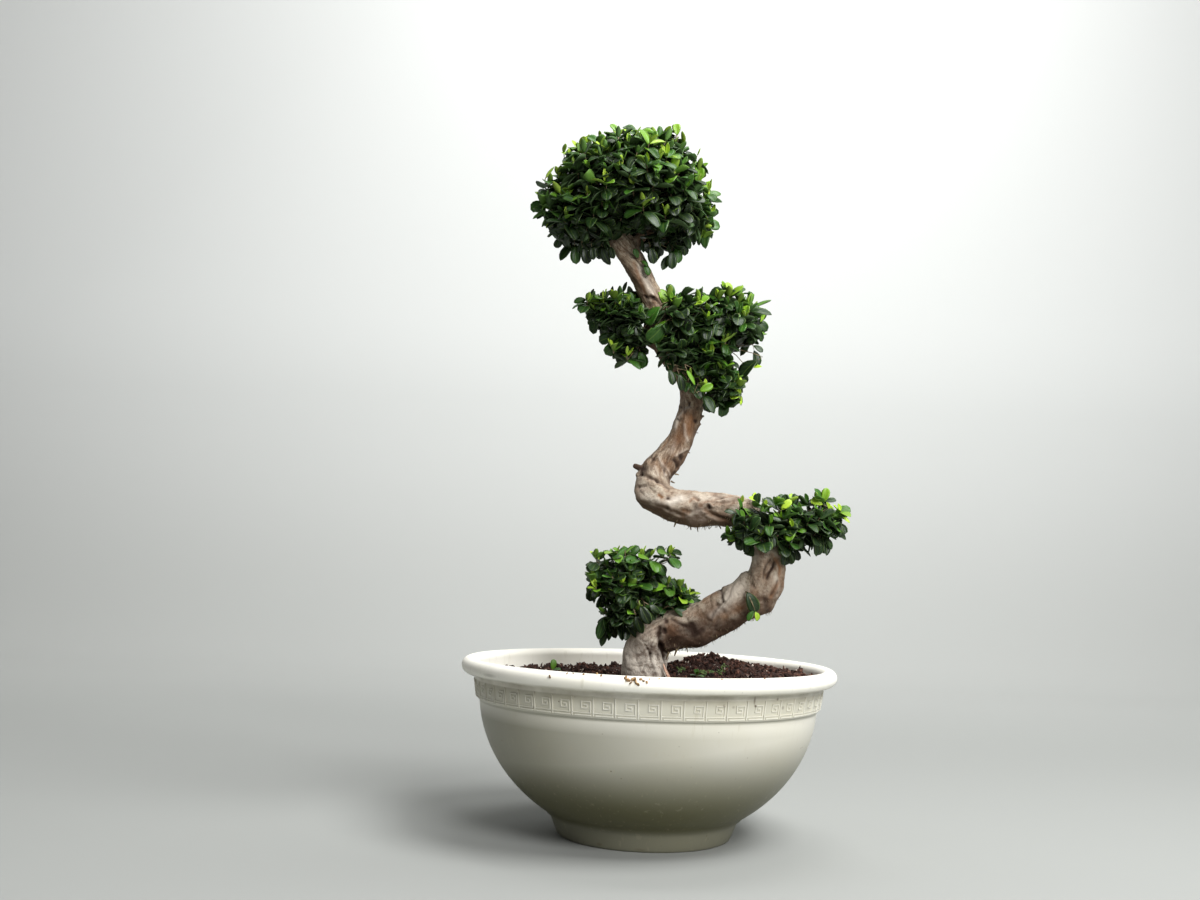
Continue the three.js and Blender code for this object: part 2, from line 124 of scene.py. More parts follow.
def add(tree, kind, inputs=(), stops=None, **settings):
    """A node with its settings. Its inputs are a list in their order, or go by name or number. Each is a
    value, a colour's hex code, a socket to link from, or a node, for the first output it has in use."""
    made = tree.nodes.new(kind)
    for name, value in settings.items():
        setattr(made, name, value)
    for name, value in inputs.items() if isinstance(inputs, dict) else enumerate(inputs):
        socket = made.inputs[name]
        if isinstance(value, bpy.types.Node):
            value = next(output for output in value.outputs if output.enabled)
        if isinstance(value, bpy.types.NodeSocket):
            tree.links.new(value, socket)
        else:
            socket.default_value = colour(value) if socket.type == "RGBA" else value
    if stops:
        ramp = made.color_ramp.elements
        ramp.remove(ramp[1])
        ramp[0].position = stops[0][0]
        ramp[0].color = colour(stops[0][1])
        for position, code in stops[1:]:
            ramp.new(position).color = colour(code)
    return made


def open_material(name):
    """A new material with its empty tree, and the place on the object that its patterns go by."""
    made = bpy.data.materials.new(name)
    made.use_nodes = True
    made.node_tree.nodes.clear()
    return made, made.node_tree, add(made.node_tree, "ShaderNodeTexCoord").outputs["Object"]


def close_material(made, tone, height=None, depth=0.0, **surface):
    """Its shader and output: surface gives its plain values, height and depth its relief in metres."""
    tree = made.node_tree
    values = {name.replace("_", " "): value for name, value in surface.items()}
    values["Base Color"] = tone
    if height:
        values["Normal"] = add(tree, "ShaderNodeBump", {"Height": height, "Strength": 1.0, "Distance": depth})
    shader = add(tree, "ShaderNodeBsdfPrincipled", values)
    add(tree, "ShaderNodeOutputMaterial", {"Surface": shader})
    return made


def lay_coats(tree, tone, *coats):
    """Coats of colour laid over a tone one after another, each as its share and its colour."""
    for share, coat in coats:
        tone = add(tree, "ShaderNodeMix", {FACTOR: share, FIRST: tone, SECOND: coat}, data_type="RGBA")
    return tone


# Materials. Lengths in them are in metres, as the patterns go by the place on the object
# Dirt on the pot at its own places, as (middle, half size, strength), in mm
POT_MARKS = [
    ((119, -200, 198), (2.2, 2.2, 8), 0.8), ((120, -199, 193), (2.5, 2.5, 2.5), 0.9),
    ((81, -218, 194), (2.5, 2.5, 2.5), 0.6), ((93, -213, 192), (3, 3, 2.5), 0.55),
    ((158, -170, 189), (3.5, 3.5, 3.5), 0.6), ((149, -178, 200), (2.5, 2.5, 2.5), 0.6),
    ((207, -105, 180), (3, 3, 6), 0.7), ((-202, -147, 213), (16, 20, 3), 0.3),
    ((68, -94, 13), (4, 4, 7), 0.5), ((94, -66, 12), (6, 6, 4), 0.45), ((-58, -101, 6), (5, 5, 3), 0.4),
    ((-8, -115, 4), (9, 9, 2), 0.35),
]


def moulded_polypropylene():
    """Injection-moulded off-white polypropylene: a soft even satin sheen, with the dirt of the nursery, and
    painted shade low on the bowl, on its left side, on the band, below the ledge and under the rim.
    """
    made, tree, place = open_material("moulded_polypropylene")
    parts = add(tree, "ShaderNodeSeparateXYZ", [place])
    height = parts.outputs["Z"]
    # Sun-aged patches about 90 mm across
    patches = add(tree, "ShaderNodeTexNoise", {"Vector": place, "Scale": 1 / 0.09, "Detail": 3})
    base = add(tree, "ShaderNodeMix", {FACTOR: patches, FIRST: "f8f6ee", SECOND: "eeead9"}, data_type="RGBA")
    # A film of dust and algae, with painted shade and a painted green reflection, that thickens towards the
    # underside of the bowl, and is less on the foot
    low = add(tree, "ShaderNodeMapRange", [height, 0.206, 0.05, 0, 0.98], interpolation_type="SMOOTHSTEP")
    foot = add(tree, "ShaderNodeMapRange", [height, 0.021, 0.032, 0.86], interpolation_type="SMOOTHSTEP")
    film_and_shade = add(tree, "ShaderNodeMath", [low, foot], operation="MULTIPLY")
    # Painted shade: the left side, away from the light, has more of it
    left_side_shade = add(tree, "ShaderNodeMapRange", [parts.outputs["X"], 0.2, -0.2, 0.25, 0.74])
    body = add(tree, "ShaderNodeMapRange", [height, 0.182, 0.153, 0, left_side_shade])
    # A thinner film on the band, partly painted shade under the rim
    below_rim = add(tree, "ShaderNodeMapRange", [height, 0.2005, 0.1985, 0, 0.33])
    thin = add(tree, "ShaderNodeMath", [below_rim, left_side_shade], operation="MULTIPLY")
    for share in (body, thin):
        film_and_shade = add(tree, "ShaderNodeMath", [film_and_shade, share], operation="MAXIMUM")
    # Dirt and painted shade lie in the ground of the key band, and its raised lines are rubbed clean
    level = add(tree, "ShaderNodeVectorMath", [place, (1, 1, 0)], operation="MULTIPLY")
    radius = add(tree, "ShaderNodeVectorMath", [level], operation="LENGTH")
    (low_radius, bottom), (high_radius, top) = BAND
    ground = add(tree, "ShaderNodeMapRange", [
        height, bottom * MM, top * MM, low_radius * MM, high_radius * MM,
    ])
    proud = add(tree, "ShaderNodeMath", [radius, ground], operation="SUBTRACT")
    sunk = add(tree, "ShaderNodeMapRange", [proud, 0.0011, 0.0004, 0, 0.3])
    over_ledge = add(tree, "ShaderNodeMapRange", [height, 0.1745, 0.1755])
    under_lines = add(tree, "ShaderNodeMapRange", [height, 0.2, 0.1985])
    in_band = add(tree, "ShaderNodeMath", [over_ledge, under_lines], operation="MULTIPLY")
    dirt_and_recess_shade = add(tree, "ShaderNodeMath", [sunk, in_band], operation="MULTIPLY")
    # A dark line 2.5 mm below the band's ledge: the ledge's painted shadow, with dirt
    ledge = add(tree, "ShaderNodeMath", [height, 0.1725], operation="SUBTRACT")
    off_ledge = add(tree, "ShaderNodeMath", [ledge], operation="ABSOLUTE")
    line = add(tree, "ShaderNodeMapRange", [off_ledge, 0.003, 0.001, 0, 0.4])
    # Brown grime and painted shade just under the rolled rim
    below = add(tree, "ShaderNodeMapRange", [height, 0.186, 0.206], interpolation_type="SMOOTHSTEP")
    above = add(tree, "ShaderNodeMapRange", [height, 0.210, 0.206], interpolation_type="SMOOTHSTEP")
    outside = add(tree, "ShaderNodeMapRange", [radius, 0.2293, 0.2303])
    cloud = add(tree, "ShaderNodeTexNoise", {"Vector": place, "Scale": 1 / 0.03, "Detail": 4})
    grime_and_rim_shade = below
    for share in (above, outside, cloud):
        grime_and_rim_shade = add(tree, "ShaderNodeMath", [grime_and_rim_shade, share], operation="MULTIPLY")
    # Vertical runs of dried water: the pattern is stretched eight times along Z
    stretched = add(tree, "ShaderNodeMapping", {"Vector": place, "Scale": (1, 1, 0.12)})
    streaks = add(tree, "ShaderNodeTexNoise", {"Vector": stretched, "Scale": 1 / 0.006, "Detail": 3})
    runs = add(tree, "ShaderNodeMapRange", [streaks, 0.62, 0.8, 0, 0.3])
    # Splashes of soil, 1 mm across, one in every 11 mm cell but only where the cloud is dense
    cells = add(tree, "ShaderNodeTexVoronoi", {"Vector": place, "Scale": 1 / 0.011})
    dot = add(tree, "ShaderNodeMapRange", [cells, 0.1, 0.05])
    dense = add(tree, "ShaderNodeMapRange", [cloud, 0.52, 0.62, 0, 0.8])
    dirt = add(tree, "ShaderNodeMath", [dot, dense], operation="MULTIPLY")
    # Marks at their own places: the run below the rim, the scuffs on the foot
    for centre, half, strength in POT_MARKS:
        away = add(tree, "ShaderNodeVectorMath", [place, mm(centre)], operation="SUBTRACT")
        shares = add(tree, "ShaderNodeVectorMath", [away, mm(half)], operation="DIVIDE")
        far = add(tree, "ShaderNodeVectorMath", [shares], operation="LENGTH")
        mark = add(tree, "ShaderNodeMapRange", [far, 1.0, 0.3, 0, strength])
        dirt = add(tree, "ShaderNodeMath", [dirt, mark], operation="MAXIMUM")
    tone = lay_coats(
        tree, base, (film_and_shade, "504e2b"), (dirt_and_recess_shade, "8f8a66"), (line, "6d6a4f"), (grime_and_rim_shade, "6f6243"),
        (runs, "b5ad92"), (dirt, "5f4c35"),
    )
    # Orange peel of the mould, 1.5 mm from crest to crest, with shallow sink marks 40 mm across
    peel = add(tree, "ShaderNodeTexNoise", {"Vector": place, "Scale": 1 / 0.0015, "Detail": 2})
    sinks = add(tree, "ShaderNodeTexNoise", {"Vector": place, "Scale": 1 / 0.04})
    relief = add(tree, "ShaderNodeMath", [sinks, 8.0, peel], operation="MULTIPLY_ADD")
    return close_material(made, tone, relief, 0.00006, Roughness=0.42, IOR=1.49, Specular_IOR_Level=0.45)


def ficus_bark():
    """Fig bark: smooth and pale grey-tan on the old bends, fibrous and browner on the upper trunk."""
    made, tree, place = open_material("ficus_bark")
    grain = add(tree, "ShaderNodeAttribute", attribute_name="grain").outputs["Vector"]
    # What the trunk's skin stores, each from 0 to 1
    fold, fibrous, rust, pale = [
        add(tree, "ShaderNodeAttribute", attribute_name=name).outputs["Fac"]
        for name in ("fold", "fibrous", "rust", "pale")
    ]
    # Blotches of old and new bark, 20 mm across
    blotches = add(tree, "ShaderNodeTexNoise", {
        "Vector": place, "Scale": 1 / 0.02, "Detail": 6, "Roughness": 0.62, "Distortion": 0.5,
    })
    blotched = add(tree, "ShaderNodeValToRGB", [blotches], stops=[
        (0.3, "806b58"), (0.43, "9d8a77"), (0.55, "b9ab98"), (0.7, "d0c5b5"),
    ])
    # The root column, which soil and water scour, is greyer and paler, partly as painted light where the
    # lower head shades it
    height = add(tree, "ShaderNodeSeparateXYZ", [place]).outputs["Z"]
    scoured_and_lit = add(tree, "ShaderNodeMapRange", [height, 0.285, 0.235, 0, 0.6])
    # Fibres along the grain, 3 mm apart
    fibres = add(tree, "ShaderNodeTexNoise", {
        "Vector": grain, "Scale": 1 / 0.003, "Detail": 5, "Roughness": 0.7, "Distortion": 0.4,
    })
    fibre_tone = add(tree, "ShaderNodeValToRGB", [fibres], stops=[
        (0.36, "4f3a2a"), (0.47, "88725b"), (0.58, "c2b29c"),
    ])
    fibre_share = add(tree, "ShaderNodeMapRange", [fibrous, 0, 1, 0.14, 0.72])
    # Rust-brown weathered patches, 35 mm across, wider on the fibrous wood
    weather = add(tree, "ShaderNodeTexNoise", {"Vector": place, "Scale": 1 / 0.035, "Detail": 5})
    weather_from = add(tree, "ShaderNodeMapRange", [fibrous, 0, 1, 0.57, 0.45])
    weathered = add(tree, "ShaderNodeMapRange", [weather, weather_from, 0.7, 0, 0.8])
    # Pores and specks 4 mm apart
    pores = add(tree, "ShaderNodeTexVoronoi", {"Vector": place, "Scale": 1 / 0.004})
    pored = add(tree, "ShaderNodeMapRange", [pores, 0.2, 0.1, 0, 0.4])
    # Cork flakes off in crumbs 4 mm across, stretched a little along the grain
    along_grain = add(tree, "ShaderNodeMapping", {"Vector": grain, "Scale": (0.9, 0.9, 3.4)})
    flake_share = add(tree, "ShaderNodeMapRange", [fibrous, 0, 1, 0.58, 0.68])
    flakes = add(tree, "ShaderNodeTexNoise", {
        "Vector": along_grain, "Scale": 1 / 0.004, "Detail": 6, "Roughness": 0.75,
    })
    flaked = add(tree, "ShaderNodeMapRange", [flakes, 0.5, 0.6, 0, flake_share])
    # Painted shade on the underside, which also stays damp, unbleached and brown
    normal = add(tree, "ShaderNodeNewGeometry").outputs["Normal"]
    facing = add(tree, "ShaderNodeSeparateXYZ", [normal]).outputs["Z"]
    underside_shade = add(tree, "ShaderNodeMapRange", [facing, 0.05, -0.7, 0, 0.88], interpolation_type="SMOOTHSTEP")
    # Rubbed places are pale, scars and grown-in bark rusty, and folds, knots and cracks dark red-brown; the
    # pale coat is partly painted light, and the rust and dark coats partly painted shade
    tone = lay_coats(
        tree, blotched, (scoured_and_lit, "ece6db"), (fibre_share, fibre_tone), (weathered, "7d5c42"),
        (pored, "634c39"), (flaked, "644b36"), (pale, "eae0d2"), (rust, "85572f"), (underside_shade, "614836"),
        (fold, "38261b"),
    )
    # Fine rings of wrinkles run round the limb, 3 mm apart
    wound = add(tree, "ShaderNodeMapping", {"Vector": grain, "Scale": (0.25, 0.25, 4.5)})
    wrinkles = add(tree, "ShaderNodeTexNoise", {"Vector": wound, "Scale": 1 / 0.003, "Detail": 3})
    relief = blotches
    for pattern, share in ((fibres, 0.8), (wrinkles, 0.5), (flakes, -0.9)):
        relief = add(tree, "ShaderNodeMath", [pattern, share, relief], operation="MULTIPLY_ADD")
    return close_material(made, tone, relief, 0.0012, Roughness=0.85, IOR=1.45)


# A leaf's UV runs along it from 0 to 1 in U and across it in V. On the underside, U is this much more
UNDER_SHIFT = 2


def ficus_leaf():
    """Waxy fig leaf: glossy dark green with a paler rib and rim, the rim partly a painted highlight, a
    painted grey-blue sheen, matt and pale below, lime when young.
    """
    made, tree, place = open_material("ficus_leaf")
    across = add(tree, "ShaderNodeUVMap", uv_map="leaf")
    parts = add(tree, "ShaderNodeSeparateXYZ", [across])
    along = add(tree, "ShaderNodeMath", [parts.outputs["X"], UNDER_SHIFT], operation="MODULO")
    below = add(tree, "ShaderNodeMath", [parts.outputs["X"], 0.75 * UNDER_SHIFT], operation="GREATER_THAN")
    aside = add(tree, "ShaderNodeMath", [parts.outputs["Y"], 0.5], operation="SUBTRACT")
    side = add(tree, "ShaderNodeMath", [aside], operation="ABSOLUTE")
    age = add(tree, "ShaderNodeAttribute", attribute_name="age").outputs["Fac"]
    shade = add(tree, "ShaderNodeAttribute", attribute_name="shade").outputs["Fac"]
    # Age runs from a dark old leaf (0) to a lime one that has just opened (1). Inside and under a head it is
    # lowered as painted shade
    blade = add(tree, "ShaderNodeValToRGB", [age], stops=[
        (0.0, "12200f"), (0.25, "1b3512"), (0.5, "2f5a15"), (0.75, "66931f"), (1.0, "abc93a"),
    ])
    # Side veins leave the rib at about 45 degrees, 5 mm apart on a 23 mm leaf
    slant = add(tree, "ShaderNodeMath", [side, -0.7, along], operation="MULTIPLY_ADD")
    wave = add(tree, "ShaderNodeMath", [slant, 9.0], operation="MULTIPLY")
    tooth = add(tree, "ShaderNodeMath", [wave, 1.0], operation="PINGPONG")
    vein = add(tree, "ShaderNodeMapRange", [tooth, 0.2, 0.02, 0, 0.1])
    rib = add(tree, "ShaderNodeMapRange", [side, 0.035, 0.012, 0, 0.3])
    net = add(tree, "ShaderNodeMath", [vein, rib], operation="MAXIMUM")
    # The rim is thin, so it shows paler, and its wide pale band is also a painted highlight of the glossy
    # edge
    rim = add(tree, "ShaderNodeMapRange", [side, 0.42, 0.5, 0, 0.5])
    # A painted grey-blue sheen, the reflection of the wax, in places 12 mm across
    sheen_patches = add(tree, "ShaderNodeTexNoise", {"Vector": place, "Scale": 1 / 0.012, "Detail": 2})
    painted_sheen = add(tree, "ShaderNodeMapRange", [sheen_patches, 0.5, 0.8, 0, 0.1])
    upper_tone = lay_coats(tree, blade, (net, "7f9a3e"), (rim, "86a355"), (painted_sheen, "566b52"))
    # The underside is a matt grey-green
    underside = lay_coats(tree, upper_tone, (below, "4c6636"))
    underside = lay_coats(tree, blade, (0.45, underside))
    chosen = lay_coats(tree, upper_tone, (below, underside))
    toned = add(tree, "ShaderNodeHueSaturation", {"Color": chosen, "Value": shade})
    gloss = add(tree, "ShaderNodeMapRange", [below, 0, 1, 0.42, 0.65])
    relief = add(tree, "ShaderNodeMath", [net, -1.0], operation="MULTIPLY")
    return close_material(made, toned, relief, 0.0003, Roughness=gloss, IOR=1.42)


def one_grain(name, grain, stops, depth, stretch=None, shaded=False, **surface):
    """A material of one grain: its noise, the tones from its hollows to its crests and its relief."""
    made, tree, place = open_material(name)
    if stretch:
        place = add(tree, "ShaderNodeMapping", {"Vector": place, "Scale": stretch})
    pattern = add(tree, "ShaderNodeTexNoise", {"Vector": place, **grain})
    tone = add(tree, "ShaderNodeValToRGB", [pattern], stops=stops)
    if shaded:
        shade = add(tree, "ShaderNodeAttribute", attribute_name="shade").outputs["Fac"]
        tone = add(tree, "ShaderNodeHueSaturation", {"Color": tone, "Value": shade})
    return close_material(made, tone, pattern, depth, **surface)


def young_wood():
    """Green-brown bark of this year's twigs: smooth, with a dull skin and blotches 6 mm across."""
    stops = [(0.35, "4a3b2b"), (0.5, "77664c"), (0.65, "9a8a6c")]
    return one_grain("young_wood", {"Scale": 1 / 0.006, "Detail": 4}, stops, 0.0003, Roughness=0.75, IOR=1.45)


def potting_bark():
    """Composted pine bark and coir, damp: red-brown, without any gloss, in crumbs of 5 mm."""
    stops = [(0.32, "150d0a"), (0.48, "35211a"), (0.6, "5b3d32"), (0.75, "8f6b56")]
    grain = {"Scale": 1 / 0.005, "Detail": 6, "Roughness": 0.7}
    return one_grain("potting_bark", grain, stops, 0.0025, shaded=True, Roughness=0.95, IOR=1.4)


def expanded_perlite():
    """Grains of perlite and clay: pale, pinkish and chalky, with pores 1.2 mm apart."""
    grain = {"Scale": 1 / 0.0012, "Detail": 3}
    stops = [(0.35, "a18b79"), (0.6, "e6dacd")]
    return one_grain("expanded_perlite", grain, stops, 0.0004, Roughness=0.95, IOR=1.4)


def dry_coir():
    """Crumbs of coir that have dried on the rim: tan and dusty, with fibres 2.5 mm apart."""
    stops = [(0.36, "5f452e"), (0.5, "9a7a55"), (0.66, "c3a47b")]
    return one_grain("dry_coir", {"Scale": 1 / 0.0025, "Detail": 4}, stops, 0.0008, Roughness=0.95, IOR=1.4)


def cushion_moss():
    """Short cushion moss on the damp soil: a deep velvety green, in tufts of 1.5 mm."""
    grain = {"Scale": 1 / 0.0015, "Detail": 4}
    stops = [(0.35, "2f4419"), (0.52, "587532"), (0.7, "8ea64c")]
    return one_grain("cushion_moss", grain, stops, 0.0015, Roughness=0.9, Sheen_Weight=0.3)


def dry_reed():
    """A dead strap leaf: papery, straw-coloured, with pink streaks 1 mm apart that run up it."""
    stops = [(0.35, "a3705c"), (0.6, "d6b49c")]
    return one_grain("dry_reed", {"Scale": 1 / 0.001}, stops, 0.0002, stretch=(1, 1, 0.15), Roughness=0.8)


def studio_paper():
    """Seamless studio paper, even and matt: pale grey on the floor, and paler behind and up the wall."""
    made, tree, place = open_material("studio_paper")
    parts = add(tree, "ShaderNodeSeparateXYZ", [place])
    back = add(tree, "ShaderNodeMapRange", [parts.outputs["Y"], 0.6, 2.6], interpolation_type="SMOOTHSTEP")
    floor = add(tree, "ShaderNodeMix", {FACTOR: back, FIRST: "969895", SECOND: "b4b6b3"}, data_type="RGBA")
    up = add(tree, "ShaderNodeMapRange", [parts.outputs["Z"], 0.05, 1.4], interpolation_type="SMOOTHSTEP")
    return close_material(made, lay_coats(tree, floor, (up, "dfe1df")), Roughness=0.9)


# Meshes and geometry trees
def mesh_object(name, points, faces, smooth=True):
    mesh = bpy.data.meshes.new(name)
    mesh.from_pydata([tuple(point) for point in points], [], faces)
    mesh.validate()
    made = bpy.data.objects.new(name, mesh)
    bpy.context.scene.collection.objects.link(made)
    mesh.polygons.foreach_set("use_smooth", [smooth] * len(mesh.polygons))
    return made


def store(mesh, name, kind, values):
    """A named attribute with a number or a vector for each point."""
    made = mesh.attributes.new(name, kind, "POINT")
    key = "vector" if kind == "FLOAT_VECTOR" else "value"
    made.data.foreach_set(key, np.asarray(values, dtype=np.float32).ravel())


def settle(holder):
    """Applies every modifier of an object to its mesh."""
    graph = bpy.context.evaluated_depsgraph_get()
    mesh = bpy.data.meshes.new_from_object(holder.evaluated_get(graph), depsgraph=graph)
    old = holder.data
    holder.modifiers.clear()
    holder.data = mesh
    bpy.data.meshes.remove(old)
    mesh.name = holder.name
    return holder


def new_tree(name, inputs):
    """A geometry tree with a geometry in and out and the named inputs, and its input node."""
    tree = bpy.data.node_groups.new(name, "GeometryNodeTree")
    tree.interface.new_socket("Geometry", in_out="INPUT", socket_type="NodeSocketGeometry")
    tree.interface.new_socket("Geometry", in_out="OUTPUT", socket_type="NodeSocketGeometry")
    for label, kind in inputs.items():
        tree.interface.new_socket(label, in_out="INPUT", socket_type="NodeSocket" + kind)
    return tree, add(tree, "NodeGroupInput").outputs


def end_tree(tree, geometry, material):
    """The tree's end: real geometry, its material and the output."""
    real = add(tree, "GeometryNodeRealizeInstances", [geometry])
    painted = add(tree, "GeometryNodeSetMaterial", {"Geometry": real, "Material": material})
    add(tree, "NodeGroupOutput", [painted])


def run_tree(holder, tree, values):
    """Runs a geometry tree on an object and keeps the result as its plain mesh."""
    modifier = holder.modifiers.new(tree.name, "NODES")
    modifier.node_group = tree
    for item in tree.interface.items_tree:
        if item.in_out == "INPUT" and item.name in values:
            modifier[item.identifier] = values[item.name]
    return settle(holder)


def finish_piece(piece, slot, *nodes, material=None):
    """A finished piece: it rides on the one body and stands for its nodes. Its slot is not used."""
    if material:
        piece.data.materials.append(material)
    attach(piece, "root")
    if nodes:
        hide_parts(*nodes)


# Paths and tubes
def smooth_path(points, steps):
    """A centripetal Catmull-Rom path through [x, y, z, radius] points in mm, as rows of metres."""
    ends = [np.array(point, dtype=float) * MM for point in points]
    ends = [2 * ends[0] - ends[1], *ends, 2 * ends[-1] - ends[-2]]
    rows = []
    for before, start, end, after in zip(ends, ends[1:], ends[2:], ends[3:]):
        pairs = ((before, start), (start, end), (end, after))
        g0, g1, g2 = [np.linalg.norm(b[:3] - a[:3]) ** 0.5 for a, b in pairs]
        leave = ((start - before) / g0 - (end - before) / (g0 + g1) + (end - start) / g1) * g1
        arrive = ((end - start) / g1 - (after - start) / (g1 + g2) + (after - end) / g2) * g1
        for step in range(steps):
            t = step / steps
            row = start + leave * t + (3 * (end - start) - 2 * leave - arrive) * t ** 2
            row = row + (2 * (start - end) + leave + arrive) * t ** 3
            row[3] = start[3] + (end[3] - start[3]) * t
            rows.append(row)
    rows.append(ends[-2])
    return np.array(rows)


def frames_along(rows):
    """The way ahead and a side that doesn't spin, at each row of a path."""
    ahead = np.gradient(rows[:, :3], axis=0)
    ahead /= np.linalg.norm(ahead, axis=1)[:, None]
    side = np.array((1.0, 0.0, 0.0))
    sides = []
    for way in ahead:
        side = side - way * side.dot(way)
        side /= np.linalg.norm(side)
        sides.append(side)
    return ahead, np.array(sides)


def ring_faces(rings, sides, first=0):
    """Quads between rings of points that lie one after another, facing out for a counterclockwise ring."""
    faces = []
    for ring in range(rings - 1):
        low = first + ring * sides
        for corner in range(sides):
            after = (corner + 1) % sides
            faces.append((low + corner, low + after, low + sides + after, low + sides + corner))
    return faces


def tube_parts(rows, sides, section=None, first=0):
    """Points and faces of a closed tube along a path."""
    ahead, side = frames_along(rows)
    points = []
    for number, row in enumerate(rows):
        across = np.cross(ahead[number], side[number])
        for corner in range(sides):
            angle = 2 * math.pi * corner / sides
            wide = row[3] * (section(angle, number / (len(rows) - 1)) if section else 1)
            points.append(row[:3] + wide * (math.cos(angle) * side[number] + math.sin(angle) * across))
    faces = ring_faces(len(rows), sides, first)
    faces.append(tuple(first + corner for corner in reversed(range(sides))))
    top = first + (len(rows) - 1) * sides
    faces.append(tuple(top + corner for corner in range(sides)))
    return points, faces


def tubes_object(name, paths, sides):
    """One object of closed tubes along several paths."""
    points, faces = [], []
    for rows in paths:
        more_points, more_faces = tube_parts(rows, sides, first=len(points))
        points += more_points
        faces += more_faces
    return mesh_object(name, points, faces)


# Pot: the bowl's half ellipse, the band, the rolled rim and the hollow foot
RIM_RADIUS = 250
ROLL_RADIUS = 10.3
ROLL_HEIGHT = 216.2
WALL = 4.5
BOWL_RADIUS = 225
BOWL_TOP = 185
BOWL_DEPTH = 190.7
BAND = ((228.5, 175), (232.5, 203))
FOOT_INSIDE = [(103.5, 6), (104.6, 4), (105.4, 1.2)]
FOOT = [(106.5, 0), (113.2, 0), (114.8, 1), (116, 3), (118.2, 8), (120.2, 13), (121.9, 17), (123.1, 20)]
WAIST = [(124.4, 22.6), (126.4, 25), (129.6, 27.4)]
FLOOR = 6
DRAIN_RADIUS = 6
DRAIN_CIRCLE = 60
DRAIN_COUNT = 4
POT_SEGMENTS = 216
KEYS = 54
KEY_PROUD = 1.2
KEY_SUNK = 0.8
KEY_WIDTH = 1.8
# How much narrower a key's line is at its top than in its ground, on each side
KEY_DRAFT = 0.35
# How far the row of keys is turned about +Z, in degrees
KEY_TURN = 1.67


def bowl_radius(height):
    return BOWL_RADIUS * math.sqrt(1 - ((height - BOWL_TOP) / BOWL_DEPTH) ** 2)


def band_radius(height):
    (low, bottom), (high, top) = BAND
    return low + (high - low) * (height - bottom) / (top - bottom)


def pot_profile():
    """[radius, height] points in mm from the middle of the underside round to the middle of the floor."""
    outside = [(bowl_radius(height), height) for height in np.linspace(31, 172, 48)]
    ledge = [(bowl_radius(173.6), 173.6), (BAND[0][0] - 0.9, 174.2), (BAND[0][0] - 0.1, 175)]
    band = [(band_radius(height), height) for height in np.linspace(176, 202, 10)]
    roll = []
    for degrees in np.linspace(-112, 178, 30):
        angle = math.radians(degrees)
        radius = RIM_RADIUS - ROLL_RADIUS + ROLL_RADIUS * math.cos(angle)
        roll.append((radius, ROLL_HEIGHT + ROLL_RADIUS * math.sin(angle)))
    neck = [(232.9, 204.2), (233.9, 205.6)]
    inside = [(BAND[1][0] - WALL, BAND[1][1])]
    inside += [(bowl_radius(height) - WALL, height) for height in np.linspace(180, 30, 16)]
    floor = [(112, 15), (104, FLOOR + WALL), (0, FLOOR + WALL)]
    return [(0, FLOOR), *FOOT_INSIDE, *FOOT, *WAIST, *outside, *ledge, *band, *neck, *roll, *inside, *floor]


def lathe(name, profile, segments):
    """A closed turned body. The profile starts and ends on the axis."""
    points = [(0, 0, profile[0][1] * MM)]
    faces = []
    rings = profile[1:-1]
    for radius, height in rings:
        for step in range(segments):
            angle = 2 * math.pi * step / segments
            points.append((radius * math.cos(angle) * MM, radius * math.sin(angle) * MM, height * MM))
    points.append((0, 0, profile[-1][1] * MM))
    faces += ring_faces(len(rings), segments, 1)
    last = 1 + (len(rings) - 1) * segments
    for step in range(segments):
        after = (step + 1) % segments
        faces.append((0, 1 + after, 1 + step))
        faces.append((len(points) - 1, last + step, last + after))
    return mesh_object(name, points, faces)


def bar_box(low, high, turn):
    """The eight corners and six faces of one raised bar of a key: low and high are (across, up) in mm."""
    corners = []
    for proud in (-KEY_SUNK, KEY_PROUD):
        inset = KEY_DRAFT if proud > 0 else 0
        for across, up in (
            (low[0] + inset, low[1] + inset), (high[0] - inset, low[1] + inset),
            (high[0] - inset, high[1] - inset), (low[0] + inset, high[1] - inset),
        ):
            radius = band_radius(up) + proud
            angle = across / band_radius(up) + turn
            corners.append((radius * math.sin(angle) * MM, -radius * math.cos(angle) * MM, up * MM))
    faces = [(3, 2, 1, 0), (4, 5, 6, 7), (0, 1, 5, 4), (1, 2, 6, 5), (2, 3, 7, 6), (3, 0, 4, 7)]
    return corners, faces


# A key's line as (across, up) corners: across in shares of the cell from its post, up in mm
KEY_LINE = [
    (0, 198), (0, 180), (0.87, 180), (0.87, 193.3), (0.46, 193.3), (0.46, 185.5), (0.72, 185.5),
    (0.72, 189.5), (0.58, 189.5),
]
POST_FOOT = 176
BEAD = (176, 178.2)


def key_cell():
    """One square key with its post and its short bead, at the front of the pot."""
    cell = 2 * math.pi * band_radius(KEY_LINE[1][1]) / KEYS
    half = KEY_WIDTH / 2
    bars = [((-half, POST_FOOT), (half, KEY_LINE[1][1])), ((0.09 * cell, BEAD[0]), (0.91 * cell, BEAD[1]))]
    for (x1, z1), (x2, z2) in zip(KEY_LINE, KEY_LINE[1:]):
        low = (min(x1, x2) * cell - half, min(z1, z2) - half)
        high = (max(x1, x2) * cell + half, max(z1, z2) + half)
        bars.append((low, high))
    points, faces = [], []
    for low, high in bars:
        corners, sides = bar_box(low, high, math.radians(KEY_TURN))
        faces += [tuple(corner + len(points) for corner in side) for side in sides]
        points += corners
    return mesh_object("key_cell", points, faces, smooth=False)


